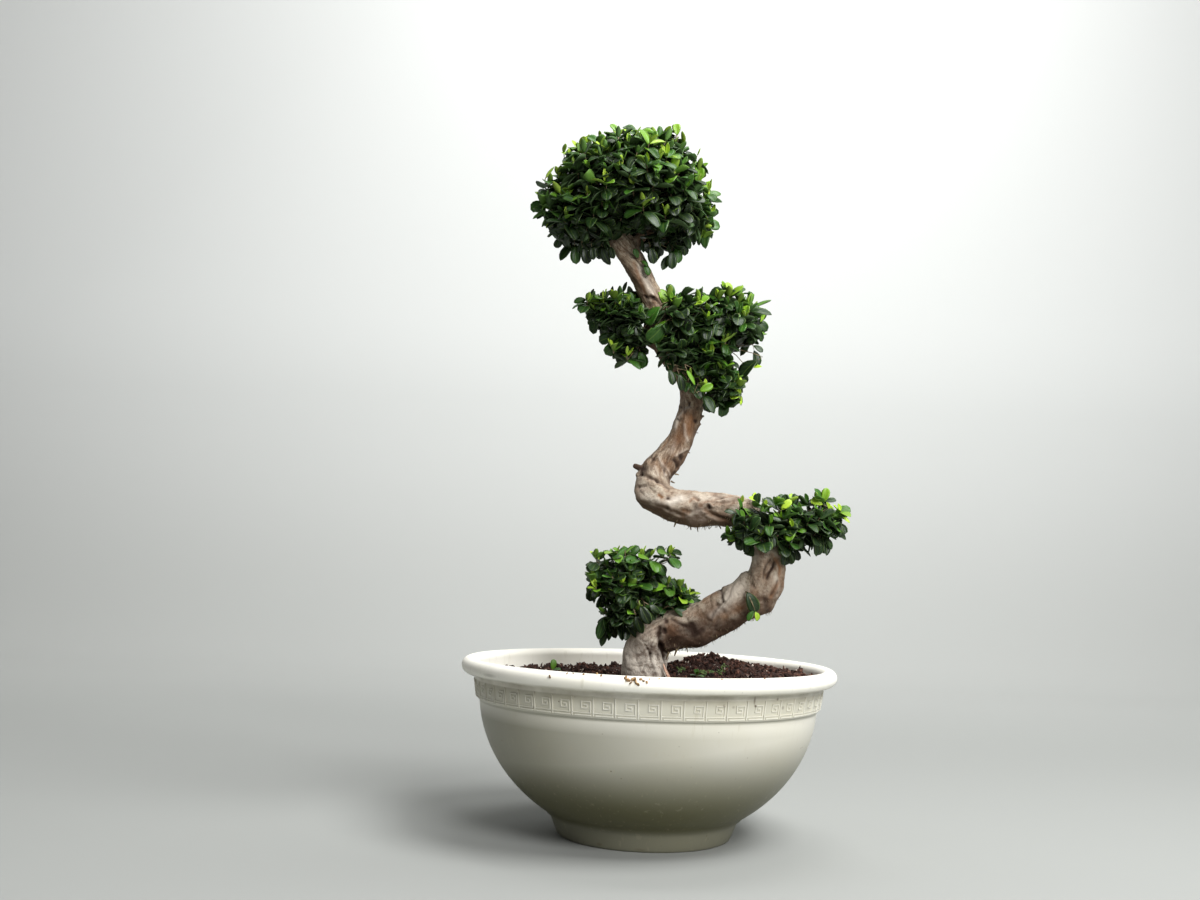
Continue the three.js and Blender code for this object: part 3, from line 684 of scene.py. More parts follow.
def turned_copies(cell, copies, material):
    """Copies of an object turned about +Z, evenly round."""
    tree, given = new_tree("turned_copies", {"Cell": "Object", "Copies": "Int", "Material": "Material"})
    line = add(tree, "GeometryNodeMeshLine", {"Count": given["Copies"], "Offset": (0, 0, 0)})
    each = add(tree, "ShaderNodeMath", [2 * math.pi, given["Copies"]], operation="DIVIDE")
    turn = add(tree, "ShaderNodeMath", [add(tree, "GeometryNodeInputIndex"), each], operation="MULTIPLY")
    turned = add(tree, "ShaderNodeCombineXYZ", {"Z": turn})
    whole = add(tree, "GeometryNodeObjectInfo", {"Object": given["Cell"]})
    copied = add(tree, "GeometryNodeInstanceOnPoints", {
        "Points": line,
        "Instance": whole.outputs["Geometry"],
        "Rotation": add(tree, "FunctionNodeEulerToRotation", [turned]),
    })
    end_tree(tree, copied, given["Material"])
    holder = mesh_object("pot_key_band", [], [])
    run_tree(holder, tree, {"Cell": cell, "Copies": copies, "Material": material})
    bpy.data.objects.remove(cell)
    return holder


def make_pot(material):
    pot = lathe("pot_bowl", pot_profile(), POT_SEGMENTS)
    rods = []
    for hole in range(DRAIN_COUNT):
        angle = 2 * math.pi * hole / DRAIN_COUNT
        x, y = DRAIN_CIRCLE * math.cos(angle), DRAIN_CIRCLE * math.sin(angle)
        rods.append(np.array([(x, y, z, DRAIN_RADIUS) for z in (-5, 20)], dtype=float) * MM)
    cutter = tubes_object("drain_rods", rods, 24)
    cut = pot.modifiers.new("drain_holes", "BOOLEAN")
    cut.object = cutter
    cut.solver = "EXACT"
    settle(pot)
    bpy.data.objects.remove(cutter)
    keys = turned_copies(key_cell(), KEYS, material)
    finish_piece(pot, "pot", "pot", material=material)
    finish_piece(keys, "pot")


# Trunk: the solid's own centre line as (x, y, z, radius), with muscles, folds, knots and cracks in its skin
TRUNK = [
    (-2, -8, 150, 27), (-3, -9, 180, 29), (-3, -10, 208, 30.5), (-4, -10, 236, 30), (5, -15, 261, 30.5),
    (37, -25, 275, 27), (70, -36, 286, 25.6), (101, -48, 301, 25.2), (129, -59, 318, 25.4),
    (146, -66, 337, 24.6), (149, -67, 358, 22.8), (146, -67, 381, 19.4), (139, -60, 405, 18.4),
    (122, -49, 426, 20), (94, -38, 432, 21.4), (60, -25, 433, 22.4), (25, -12, 438, 23), (2, 0, 453, 23.4),
    (2, 8, 479, 22), (19, 14, 504, 19.5), (37, 18, 532, 17), (48, 20, 565, 15.8), (50, 18, 597, 16),
    (38, 14, 622, 16.2), (15, 6, 651, 16.4), (-1, 0, 680, 16), (-8, -6, 709, 15.4), (-19, -10, 736, 15.4),
    (-35, -10, 764, 15.8), (-53, -6, 794, 15.8), (-63, 0, 826, 14.2), (-60, 0, 862, 10),
]
# Limbs into the heads, the cut stub at the elbow and its prong
LIMBS = [
    [(-2, -11, 250, 17), (-14, -6, 280, 15), (-22, -2, 312, 12), (-24, 0, 338, 8)],
    [(141, -62, 398, 11), (160, -70, 406, 9), (182, -72, 410, 6)],
    [(44, 17, 604, 10), (62, 14, 632, 8), (80, 10, 668, 7), (84, 10, 700, 5)],
    [(12, 6, 652, 9), (-18, 8, 668, 7), (-46, 10, 690, 6), (-64, 10, 706, 5)],
    [(-48, -7, 786, 9), (-22, -4, 816, 7), (4, -4, 838, 5)],
    [(-54, -6, 796, 9), (-82, -2, 820, 7), (-106, 0, 840, 5)],
]
STUB = [(0, 6, 481, 8), (-12, 5, 485, 5.2), (-20, 4, 488, 4.2), (-29, 4, 491, 3.4)]
STUB_PRONG = [(-13, 4, 485, 4.4), (-19, 1, 481, 3.2), (-24, 0, 477, 2.6)]
TRUNK_VOXEL = 1.6
# How far the grain winds round the trunk, in radians for each metre
TRUNK_TWIST = 12.2
RIDGES = 3
# From here on the bark is fibrous: the number of the trunk's point just over the elbow
FIBROUS_FROM = 17.6

# Knots, humps and hollows as (place, radius, how far they stand out, how deep their eye is), in mm
KNOTS = [
    ((20, -49, 283), 6, 1.4, 1.8), ((17, -51, 271), 5, 1.2, 2.0), ((99, -52, 327), 9, 3.2, 0),
    ((80, -46, 320), 9, 1.8, 0), ((118, -62, 338), 10, 2.6, 0), ((154, -64, 303), 13, 8.0, 0),
    ((126, -76, 296), 10, 2.2, 0), ((62, -44, 258), 20, 6.5, 0), ((88, -52, 276), 9, -1.5, 0),
    ((34, -34, 252), 9, 2.0, 0), ((172, -66, 344), 13, -2.0, 0), ((122, -64, 352), 12, 4.5, 0),
    ((43, -40, 428), 5, 1.6, 1.2), ((71, -53, 435), 6, 1.8, 1.6), ((61, -49, 436), 4.5, 1.4, 0.8),
    ((46, 13, 592), 26, 2.6, 0), ((32, 14, 554), 20, 3.2, 0), ((48, -30, 408), 14, 3.5, 0),
    ((-25, -4, 461), 15, 4.8, 0), ((-20, -8, 442), 13, 4.8, 0), ((60, -34, 408), 12, 2.0, 0),
    ((90, -46, 406), 9, 2.0, 0), ((34, 3, 502), 4.5, 1.4, 2.0), ((36, 9, 557), 4, 1.2, 2.2),
    ((54, 6, 555), 4.5, 1.4, 2.4), ((64, 12, 561), 4, 3.4, 0), ((61, 12, 551), 3.5, 3.0, 0),
    ((-12, -16, 729), 10, 2.0, 0), ((-30, -26, 741), 3, 0.6, 1.6), ((48, 4, 532), 6, 1.6, 0),
    ((-13, -5, 676), 14, 6.0, 0), ((-26, -30, 222), 9, 1.6, 0), ((118, -34, 404), 8, 1.6, 1.0),
    ((130, -80, 416), 8, 1.4, 0), ((-2, 30, 300), 14, 2.0, 1.0), ((70, -4, 292), 12, 2.2, 1.2),
    ((60, 2, 440), 9, 1.8, 1.4), ((24, 32, 500), 6, 1.6, 1.6), ((170, -40, 366), 8, 1.8, 1.4),
]
# Folds and cracks as (start, end, half width, depth), in mm. A raised strand has a depth under 0
FOLDS = [
    ((-9, -43, 255), (-4, -44, 245), 1.2, 1.2), ((-4, -44, 245), (0, -43, 239), 1.2, 1.2),
    ((0, -43, 239), (-7, -41, 228), 1.2, 1.1), ((-7, -41, 228), (-9, -39, 214), 1.2, 1.0),
    ((0, -43, 239), (1, -43, 224), 1.1, 1.0), ((9, -48, 266), (12, -40, 251), 3.4, 1.4),
    ((12, -40, 251), (19, -27, 234), 3.4, 3.4), ((19, -27, 234), (24, -34, 212), 2.6, 2.4),
    ((85, -66, 288), (83, -59, 274), 2.4, 1.0), ((95, -64, 325), (90, -65, 315), 2.4, 1.4),
    ((66, -50, 312), (70, -58, 304), 1.7, 0.8), ((77, -55, 316), (77, -64, 306), 1.7, 0.8),
    ((85, -60, 313), (86, -67, 303), 1.7, 0.8), ((85, -64, 308), (78, -64, 292), 1.6, 0.8),
    ((158, -87, 340), (150, -88, 322), 2.4, 1.2), ((-17, -8, 477), (-8, -17, 474), 2.4, 1.2),
    ((-8, -17, 474), (3, -18, 469), 2.4, 1.3), ((3, -18, 469), (12, -13, 466), 2.4, 1.6),
    ((12, -13, 466), (20, -10, 459), 2.6, 2.6), ((20, -10, 459), (20, 14, 462), 2.8, 3.4),
    ((-17, -8, 477), (-20, 8, 476), 1.9, 1.4), ((-25, -2, 459), (-19, -12, 460), 2.0, 1.5),
    ((-19, -12, 460), (-11, -17, 462), 1.9, 1.4), ((4, -25, 437), (17, -32, 432), 3.2, 2.2),
    ((17, -32, 432), (34, -36, 424), 2.4, 1.4), ((74, -49, 426), (94, -57, 417), 2.8, 1.6),
    ((49, -40, 449), (58, -45, 443), 1.7, 1.4), ((79, -50, 446), (90, -50, 448), 1.9, 1.4),
    ((0, -5, 503), (-5, -7, 494), 2.2, 2.0), ((0, -7, 498), (15, -9, 481), 1.7, 1.2),
    ((25, -4, 500), (32, 3, 488), 2.4, 1.6), ((46, 4, 580), (40, 6, 566), 1.7, 1.8),
    ((33, 14, 562), (56, 5, 573), 1.6, 1.2), ((40, 3, 548), (44, 2, 536), 1.3, -1.3),
    ((44, 2, 536), (38, 2, 524), 1.3, -1.3), ((-22, -20, 722), (-10, -24, 719), 1.0, 1.8),
    ((-10, -24, 719), (1, -18, 710), 1.3, 2.0), ((-2, -12, 650), (12, -12, 632), 2.0, 1.6),
    ((60, 0, 322), (84, -12, 318), 2.4, 2.4), ((110, -20, 330), (126, -30, 338), 2.2, 2.0),
    ((10, 24, 262), (16, 22, 236), 3.0, 3.0), ((-14, 20, 250), (-12, 20, 216), 2.2, 1.6),
    ((70, -4, 424), (96, -14, 418), 2.4, 2.2), ((28, 34, 520), (40, 36, 548), 2.0, 1.6),
    ((10, 20, 680), (-2, 12, 706), 2.0, 1.6),
]
# Brown stains as (place, radius, strength)
STAINS = [
    ((58, -55, 275), 13, 0.6), ((86, -62, 276), 12, 0.45), ((142, -90, 327), 10, 0.35),
    ((8, -28, 448), 4, 0.4), ((18, -32, 444), 3, 0.7), ((54, -47, 434), 5, 0.5), ((78, -62, 300), 9, 0.25),
    ((30, -50, 262), 12, 0.4), ((28, -4, 498), 7, 0.5), ((44, 4, 566), 7, 0.35), ((56, 8, 540), 8, 0.4),
    ((12, -30, 275), 10, 0.3), ((100, -66, 300), 10, 0.3), ((-20, -14, 490), 8, 0.25),
    ((36, 6, 516), 8, 0.3),
]

# What the front of the trunk shows, as strokes through pixels of the photograph: half width in pixels,
# how far it stands out in mm, and its share of dark (D), rust (R) or pale (P) bark. Broad strokes that stand
# out 0 mm are mostly painted shade (D, R) and painted light (P)
STROKES = [
    ([(722, 591), (723, 597), (724, 602)], 1.3, -1.8, "D", 0.65),
    ([(724, 602), (721, 605), (717, 605)], 1.3, -1.6, "D", 0.6),
    ([(720, 594), (722, 591), (726, 590)], 1.1, 1.6, "D", 0.5),
    ([(729, 599), (738, 590)], 8, 3.6, "P", 0.5), ([(712, 616), (723, 608)], 3.5, 2.0, "P", 0.5),
    ([(711, 621), (716, 611)], 1.2, -0.8, "D", 0.3), ([(716, 611), (720, 606)], 1.2, -0.6, "D", 0.3),
    ([(691, 624), (694, 632)], 2.8, -1.4, "D", 0.65), ([(664, 630), (664.5, 632)], 1.8, -3.0, "D", 1.0),
    ([(665, 618), (666, 622)], 1.6, -0.8, "D", 0.6),
    ([(659.5, 628), (658.5, 640), (661, 647), (668, 655)], 2.2, -2.6, "D", 0.7),
    ([(671, 619), (682, 625), (691, 628)], 1.6, -1.4, "D", 0.6),
    ([(679, 613), (688, 620)], 1.6, -0.8, "D", 0.3),
    ([(672, 632), (690, 640), (706, 634)], 7, 1.6, "R", 0.5), ([(676, 622), (672, 640)], 6, 1.6, "R", 0.4),
    ([(668, 642), (688, 647), (706, 640)], 5, 0.0, "D", 0.4),
    ([(762.5, 578), (763, 572), (766, 565), (770, 560)], 1.0, -1.8, "D", 0.7),
    ([(767, 578), (769, 573), (773, 567), (774.5, 562)], 1.4, -2.8, "D", 0.9),
    ([(764, 580), (769, 566)], 5, 0.0, "R", 0.35), ([(767, 573), (770.5, 567)], 1.2, 1.8, "P", 0.3),
    ([(772, 555), (781, 567), (780, 581), (772, 595), (768, 606)], 2.2, -1.2, "R", 0.5),
    ([(777, 560), (785, 575), (783, 590), (776, 604)], 3.0, -0.6, "R", 0.35),
    ([(775, 585), (769, 597)], 2.4, 1.0, "R", 0.5), ([(764.5, 599), (765.5, 608)], 2.6, -1.0, "D", 0.7),
    ([(752.5, 584), (755, 588)], 1.6, -1.0, "D", 0.5),
    ([(744, 575), (750, 566), (756, 556)], 4.5, 1.6, "P", 0.4),
    ([(726, 616), (744, 606)], 3.5, -0.8, "R", 0.4), ([(727, 623), (748, 612)], 3.5, 0.0, "D", 0.3),
    ([(704, 602), (710, 598), (717, 596)], 3.0, 1.6, "R", 0.5),
    ([(640.5, 639), (646.5, 642)], 0.9, -0.8, "D", 0.5), ([(652, 645), (655, 671)], 2.0, 1.4, "P", 0.3),
    ([(648.5, 478), (656, 479), (662.5, 483), (668, 488)], 1.7, -1.2, "D", 0.45),
    ([(659, 495), (662.5, 497.5)], 1.5, -0.8, "R", 1.0),
    ([(667.5, 498.5), (668.5, 499)], 1.2, -1.2, "D", 0.8),
    ([(645, 497), (655, 503), (667, 505)], 6, 1.8, "P", 0.25),
    ([(639, 503), (647, 509.5), (660, 511)], 3, -1.2, "R", 0.45),
    ([(652, 515), (663, 519), (678, 523)], 3.5, 0.0, "R", 0.45),
    ([(700, 505.5), (701.5, 506)], 1.6, -0.8, "R", 0.6), ([(708, 506), (709, 508)], 1.5, -2.0, "D", 0.7),
    ([(705.5, 503.5), (709, 503), (712, 506)], 1.1, 1.8, "P", 0.2),
    ([(684, 510), (689, 512)], 2.2, -1.2, "R", 0.7),
    ([(705, 510), (712, 515), (722, 519), (727, 520)], 3.0, -1.8, "R", 0.6),
    ([(705, 502.5), (717, 499), (728, 496), (733, 495)], 1.6, -0.8, "R", 0.4),
    ([(712, 505), (724, 501), (733, 501)], 1.6, -0.5, "R", 0.3),
    ([(691, 516), (703, 511)], 5, 1.2, "P", 0.35), ([(682, 514), (686, 524)], 2.5, 0.0, "R", 0.45),
    ([(690, 501), (694, 498), (698, 500)], 1.6, -1.0, "R", 0.6),
    ([(670, 503), (680, 499)], 4, 1.4, "P", 0.5), ([(679.5, 457), (680.5, 458)], 2.2, -2.2, "D", 1.0),
    ([(671, 460), (674, 461)], 2.0, -0.8, "D", 0.4),
    ([(675, 456), (681, 452), (687, 449)], 1.4, 1.4, "P", 0.4),
    ([(695, 421), (695.5, 422)], 1.5, -1.4, "D", 0.8), ([(679, 420), (680, 421)], 1.2, -1.2, "D", 0.8),
    ([(681, 407), (681.5, 407.5)], 1.0, -1.0, "D", 0.7),
    ([(690, 407), (686, 409), (680, 417), (676, 428)], 1.3, 1.3, "P", 0.7),
    ([(685, 425), (685, 434), (687, 441)], 1.3, 1.3, "P", 0.7),
    ([(686, 414), (684, 428), (678, 440)], 6, 0.0, "R", 0.5), ([(692, 418), (690, 434)], 3, 0.0, "R", 0.55),
    ([(691, 449), (687, 458), (681, 466)], 3, -0.4, "R", 0.55),
    ([(671, 478), (673.5, 485)], 2.6, -1.4, "D", 0.7), ([(640, 480), (646, 490)], 5, 0.8, "P", 0.12),
    # These broad strokes, down to the last rust one, paint shade (D, R) and light (P)
    ([(630, 465), (645, 470)], 5, 0.0, "D", 0.95),
    ([(676, 500), (700, 498), (730, 498)], 3.5, 0.0, "P", 0.3),
    ([(672, 509), (695, 509), (722, 508)], 6, 0.0, "D", 0.22),
    ([(666, 628), (686, 629), (704, 626)], 8, 0.0, "D", 0.4),
    ([(678, 442), (669, 452), (662, 462)], 9, 0.0, "D", 0.22),
    ([(672, 520), (700, 521), (722, 520)], 4, 0.0, "P", 0.4), ([(634, 654), (634, 669)], 6, 0.0, "P", 0.35),
    ([(777, 578), (777, 598)], 5, 0.0, "P", 0.25),
    ([(680, 524), (700, 527), (725, 524)], 5, 0.0, "R", 0.35),
    ([(700, 625), (722, 615), (745, 600)], 4, 0.0, "R", 0.25),
    ([(755, 590), (748, 606), (740, 612)], 5, 0.0, "R", 0.35),
    ([(680, 440), (672, 456), (664, 468)], 6, 0.0, "R", 0.3),
    ([(653, 462), (668, 466), (676, 474)], 7, 0.0, "R", 0.22),
    ([(659, 458), (663, 467), (666, 475)], 0.9, 1.3, "P", 0.6),
    ([(662.5, 463), (668, 471), (671, 478)], 0.9, 1.3, "P", 0.6),
    ([(655, 466), (659, 475)], 0.9, 1.0, "P", 0.4), ([(651.5, 457), (652.5, 459)], 1.8, -1.2, "D", 0.7),
    ([(688.5, 400), (691, 408)], 0.9, -1.0, "D", 0.7), ([(668, 440), (662, 450)], 1.2, -0.8, "R", 0.5),
    ([(676, 440), (672, 452)], 2.2, 0.8, "P", 0.3),
    ([(678, 400), (676, 412), (671, 424)], 3, 0.0, "P", 0.45),
    ([(640, 268), (646, 280), (652, 292)], 3.5, 0.0, "P", 0.5),
    ([(634, 262), (640, 280), (646, 294)], 1.6, -0.8, "R", 0.5),
    ([(651, 296), (654, 298)], 1.4, -1.8, "D", 0.9),
    ([(646, 297), (656, 300), (660, 304)], 1.3, -1.6, "D", 0.7),
]


def stroke_distance(pixels, line):
    """How far each pixel is from a line through several points, in pixels."""
    far = np.full(len(pixels), 1e6)
    for start, end in zip(line, line[1:]):
        start, way = np.array(start), np.array(end) - np.array(start)
        share = np.clip((pixels - start) @ way / (way @ way), 0, 1)
        far = np.minimum(far, np.linalg.norm(pixels - start - share[:, None] * way, axis=1))
    return far


def trunk_section(angle, share):
    """The solid's own ridges, so that the fine trunk keeps its form."""
    mark = share * (len(TRUNK) - 1)
    return 1 + 0.05 * math.cos(RIDGES * (angle + mark * 0.44)) + 0.02 * math.cos(2 * angle + mark)


def segment_distance(points, start, end):
    """How far each point is from a segment."""
    start, way = np.array(mm(start)), np.array(mm(end)) - np.array(mm(start))
    share = np.clip((points - start) @ way / (way @ way), 0, 1)
    return np.linalg.norm(points - start - share[:, None] * way, axis=1)


def field(points, period, octaves=1, seed=0.0):
    """Smooth noise from -1 to 1 at each point, with the given period in metres."""
    shift = Vector((seed, seed * 0.37, -seed * 0.61))
    values = []
    for point in points:
        values.append(noise.fractal(Vector(point) / period + shift, 1.0, 2.0, octaves))
    return np.array(values)


def bark_skin(points, normals, lines):
    """Moves the skin in and out along its normals. Gives it back with its grain, fibrousness and tones."""
    keys = ("rows", "ahead", "side", "reach", "marks")
    rows, ahead, sides, reach, marks = [np.concatenate([line[key] for line in lines]) for key in keys]
    nearest = np.empty(len(points), dtype=int)
    for start in range(0, len(points), 4000):
        block = points[start:start + 4000, None, :] - rows[None, :, :3]
        nearest[start:start + 4000] = np.argmin(np.linalg.norm(block, axis=2) - rows[None, :, 3], axis=1)
    row, way, side = rows[nearest], ahead[nearest], sides[nearest]
    offset = points - row[:, :3]
    along = reach[nearest] + np.einsum("ij,ij->i", offset, way)
    across = np.cross(way, side)
    angle = np.arctan2(np.einsum("ij,ij->i", offset, across), np.einsum("ij,ij->i", offset, side))
    turned = angle + along * TRUNK_TWIST
    radius = row[:, 3]
    fibrous = np.clip((marks[nearest] - FIBROUS_FROM) / 0.5, 0, 1)
    wander = field(np.column_stack([along, along * 0, along * 0]), 0.07) * 1.6
    grain = np.column_stack([np.cos(turned) * radius, np.sin(turned) * radius, along * 0.22])
    muscles = 0.9 * np.cos(3 * turned + wander) + 0.5 * np.cos(5 * turned - 2 * wander + 1)
    lumps = 2.6 * field(points, 0.04, 2) + 1.1 * field(points, 0.017, 2, 3.1)
    fine = 0.6 * field(points, 0.006, 2, 9.2)
    strands = field(grain, 0.009, 3, 7.7)
    long_folds = np.clip((0.09 - np.abs(field(grain, 0.024, 2, 1.9))) / 0.09, 0, 1)
    long_folds *= np.clip(field(points, 0.05, 1, 4.4) * 3, 0, 1)
    patches = np.clip(field(points, 0.035, 1, 5.5) * 2.5, 0, 1)
    rings_at = np.column_stack([grain[:, 0] * 0.5, grain[:, 1] * 0.5, along])
    wrinkles = field(rings_at, 0.0045, 2, 2.3) * patches
    grown = np.clip(radius / 0.02, 0.35, 1)
    rough = 0.3 + 0.7 * fibrous
    move = (muscles + lumps + fine + 0.8 * rough * strands + 0.5 * wrinkles - 1.0 * long_folds) * grown
    # shade is painted shade: darker in the long folds, in the hollows of strands and lumps, in knots' eyes
    # and in folds; the stains are brown bark
    shade = 0.5 * long_folds + np.clip(-strands - 0.1, 0, 0.4) * rough + np.clip(-lumps * 0.08, 0, 0.2)
    for place, wide, out, eye in KNOTS:
        far = np.linalg.norm(points - np.array(mm(place)), axis=1) / MM
        move += out * np.exp(-(far / wide) ** 2) - eye * np.exp(-(far / (0.42 * wide)) ** 2)
        shade += min(eye * 0.34, 1) * np.exp(-(far / (0.5 * wide)) ** 2)
    for start, end, half, depth in FOLDS:
        far = segment_distance(points, start, end) / MM + 0.7 * strands
        lips = np.exp(-((far - 2.2 * half) / half) ** 2)
        move += -depth * np.exp(-(far / half) ** 2) + 0.25 * depth * lips
        shade += min(0.36 * depth, 1) * np.exp(-(far / (0.8 * half)) ** 2)
    for place, wide, strength in STAINS:
        far = np.linalg.norm(points - np.array(mm(place)), axis=1) / MM
        shade += strength * np.exp(-(far / wide) ** 2) * (0.7 + 0.6 * strands)
    # Strokes lie on the side that faces the camera's place, and stay there from any view
    tones = {"D": shade, "R": np.zeros(len(points)), "P": np.zeros(len(points))}
    pixels = to_pixels(points)
    seen = np.array(mm(CAMERA_PLACE)) - points
    seen /= np.linalg.norm(seen, axis=1)[:, None]
    front = np.clip((np.einsum("ij,ij->i", normals, seen) - 0.05) / 0.25, 0, 1)
    for line, half, out, tone, strength in STROKES:
        far = stroke_distance(pixels, line) + 0.35 * strands
        spread = np.exp(-(far / half) ** 2) * front
        move += out * spread
        tones[tone] += strength * spread
    moved = points + normals * (move * MM)[:, None]
    tones = {name: np.clip(values, 0, 1) for name, values in tones.items()}
    return moved, grain, fibrous, tones


def line_data(points, steps, seed, mark=None):
    """A limb's path with what the bark needs to know along it. Only the trunk has marks of its own."""
    rows = smooth_path(points, steps)
    ahead, side = frames_along(rows)
    gaps = np.linalg.norm(np.diff(rows[:, :3], axis=0), axis=1)
    marks = np.arange(len(rows)) / steps if mark is None else np.full(len(rows), mark)
    reach = np.concatenate([[0], np.cumsum(gaps)]) + seed
    return {"rows": rows, "ahead": ahead, "side": side, "reach": reach, "marks": marks}


def make_trunk(material):
    main = line_data(TRUNK, 8, 0.0)
    side_wood = [*LIMBS, STUB, STUB_PRONG]
    others = [line_data(path, 8, 2.0 + 0.7 * order, 18.0) for order, path in enumerate(side_wood)]
    points, faces = tube_parts(main["rows"], 40, trunk_section)
    for line in others:
        more_points, more_faces = tube_parts(line["rows"], 20, first=len(points))
        points += more_points
        faces += more_faces
    trunk = mesh_object("trunk_wood", points, faces)
    remesh = trunk.modifiers.new("one_skin", "REMESH")
    remesh.mode = "VOXEL"
    remesh.voxel_size = TRUNK_VOXEL * MM
    soften = trunk.modifiers.new("soften_joints", "SMOOTH")
    soften.iterations = 10
    soften.factor = 0.5
    settle(trunk)
    mesh = trunk.data
    count = len(mesh.vertices)
    places, normals = np.empty(count * 3), np.empty(count * 3)
    mesh.vertices.foreach_get("co", places)
    mesh.vertex_normals.foreach_get("vector", normals)
    moved, grain, fibrous, tones = bark_skin(places.reshape(-1, 3), normals.reshape(-1, 3), [main, *others])
    mesh.vertices.foreach_set("co", moved.ravel())
    store(mesh, "grain", "FLOAT_VECTOR", grain)
    # fold holds painted shade and brown stains, rust holds partly painted shade, and pale partly painted
    # light
    skin = {"fold": tones["D"], "rust": tones["R"], "pale": tones["P"], "fibrous": fibrous}
    for name, values in skin.items():
        store(mesh, name, "FLOAT", values)
    mesh.polygons.foreach_set("use_smooth", [True] * len(mesh.polygons))
    mesh.update()
    finish_piece(trunk, "bark", "trunk", material=material)
    return trunk, main


# Leaves: stations along the blade and across it
STATIONS = [0, 0.14, 0.34, 0.56, 0.76, 0.92, 1]
ACROSS = [-1, -0.52, 0, 0.52, 1]
# Kinds of leaf, one unit long, as (width, how pointed, fold, arch, cup, twist). The last is a young one
LEAF_KINDS = [
    (0.62, 0.42, 0.22, -0.30, 0.05, 0.1), (0.74, 0.36, 0.10, -0.42, 0.20, -0.2),
    (0.58, 0.5, 0.35, -0.18, 0, 0.3), (0.66, 0.38, 0.16, 0.10, 0.25, -0.1),
    (0.54, 0.65, 0.30, -0.50, 0, 0.4), (0.46, 0.75, 0.35, 0.12, 0.02, -0.3),
]
YOUNG_KIND = 5
LEAF_THICKNESS = 0.022


def blade_width(share, point):
    """An obovate blade: a wedge at its base. Its tip is round for a point of 0.4 and sharp for one of 1."""
    widest = 0.8 / (0.8 + point)
    return share ** 0.8 * (1 - share) ** point / (widest ** 0.8 * (1 - widest) ** point)


def leaf_kind(number, shape):
    """A closed leaf one unit long along +X, its upper side up."""
    width, point, fold, arch, cup, twist = shape

    def surface(share, side, lift):
        y = side * blade_width(share, point) * width / 2
        z = arch * share ** 2 + fold * abs(y) + cup * (2 * y) ** 2 + lift
        cos, sin = math.cos(twist * share), math.sin(twist * share)
        return Vector((share, y * cos - z * sin, y * sin + z * cos))

    mesh = bmesh.new()
    uv = mesh.loops.layers.uv.new("leaf")
    edge_points = {}
    for lower in (False, True):
        grid = {}
        for i, share in enumerate(STATIONS):
            for j, side in enumerate(ACROSS):
                on_edge = i in (0, len(STATIONS) - 1) or abs(side) == 1
                key = (i, 0 if i in (0, len(STATIONS) - 1) else side)
                if on_edge:
                    if key not in edge_points:
                        edge_points[key] = mesh.verts.new(surface(share, side, -LEAF_THICKNESS / 2))
                    grid[i, j] = edge_points[key]
                else:
                    thick = LEAF_THICKNESS * (2.2 if lower and side == 0 else 1)
                    grid[i, j] = mesh.verts.new(surface(share, side, -thick if lower else 0))
        for i in range(len(STATIONS) - 1):
            for j in range(len(ACROSS) - 1):
                corners = [(i, j), (i + 1, j), (i + 1, j + 1), (i, j + 1)]
                if lower:
                    corners.reverse()
                unique = []
                for corner in corners:
                    if grid[corner] not in [grid[other] for other in unique]:
                        unique.append(corner)
                face = mesh.faces.new([grid[corner] for corner in unique])
                face.smooth = True
                for loop, (station, column) in zip(face.loops, unique):
                    u = STATIONS[station] * 0.98 + 0.01 + (UNDER_SHIFT if lower else 0)
                    loop[uv].uv = (u, (ACROSS[column] + 1) / 2)
    data = bpy.data.meshes.new("leaf_kind")
    mesh.to_mesh(data)
    mesh.free()
    return bpy.data.objects.new("leaf_kind_%d" % number, data)


def leaf_tree():
    """Puts a leaf of the stored kind on each point, turned and sized as stored."""
    tree, given = new_tree("leaves_on_points", {"Kinds": "Collection", "Material": "Material"})
    kinds = add(tree, "GeometryNodeCollectionInfo", {
        "Collection": given["Kinds"], "Separate Children": True, "Reset Children": True,
    })
    turn, size, kind = [
        add(tree, "GeometryNodeInputNamedAttribute", {"Name": name}, data_type=sort)
        for name, sort in (("turn", "FLOAT_VECTOR"), ("size", "FLOAT"), ("kind", "INT"))
    ]
    placed = add(tree, "GeometryNodeInstanceOnPoints", {
        "Points": given["Geometry"],
        "Instance": kinds,
        "Pick Instance": True,
        "Instance Index": kind,
        "Rotation": add(tree, "FunctionNodeEulerToRotation", [turn]),
        "Scale": size,
    })
    end_tree(tree, placed, given["Material"])
    return tree


def leaf(base, along, upper, length, age, shade, kind):
    """One leaf as a row: its base, its turn, its length in metres, and its look."""
    x = along.normalized()
    y = upper.cross(x).normalized()
    z = x.cross(y)
    turn = Matrix((x, y, z)).transposed().to_euler()
    return {
        "base": base, "tip": base + x * length, "turn": turn, "size": length,
        "age": age, "shade": shade, "kind": kind,
    }


def leaves_object(name, leaves, kit):
    points = mesh_object(name, [row["base"] for row in leaves], [])
    mesh = points.data
    store(mesh, "turn", "FLOAT_VECTOR", [tuple(row["turn"]) for row in leaves])
    for key in ("size", "age", "shade"):
        store(mesh, key, "FLOAT", [row[key] for row in leaves])
    mesh.attributes.new("kind", "INT", "POINT").data.foreach_set("value", [row["kind"] for row in leaves])
    return run_tree(points, kit["tree"], {"Kinds": kit["kinds"], "Material": kit["material"]})


# A shoot's leaves from the outermost to the youngest: tilt from its axis, size, age when resting, age
# when it has just flushed
SHOOT = [
    (92, 1.00, 0.00, 0.08), (84, 1.06, 0.03, 0.14), (76, 1.04, 0.07, 0.28), (64, 1.0, 0.13, 0.46),
    (54, 0.94, 0.22, 0.62), (42, 0.84, 0.34, 0.8), (28, 0.7, 0.48, 0.92), (13, 0.5, 0.64, 1.0),
]


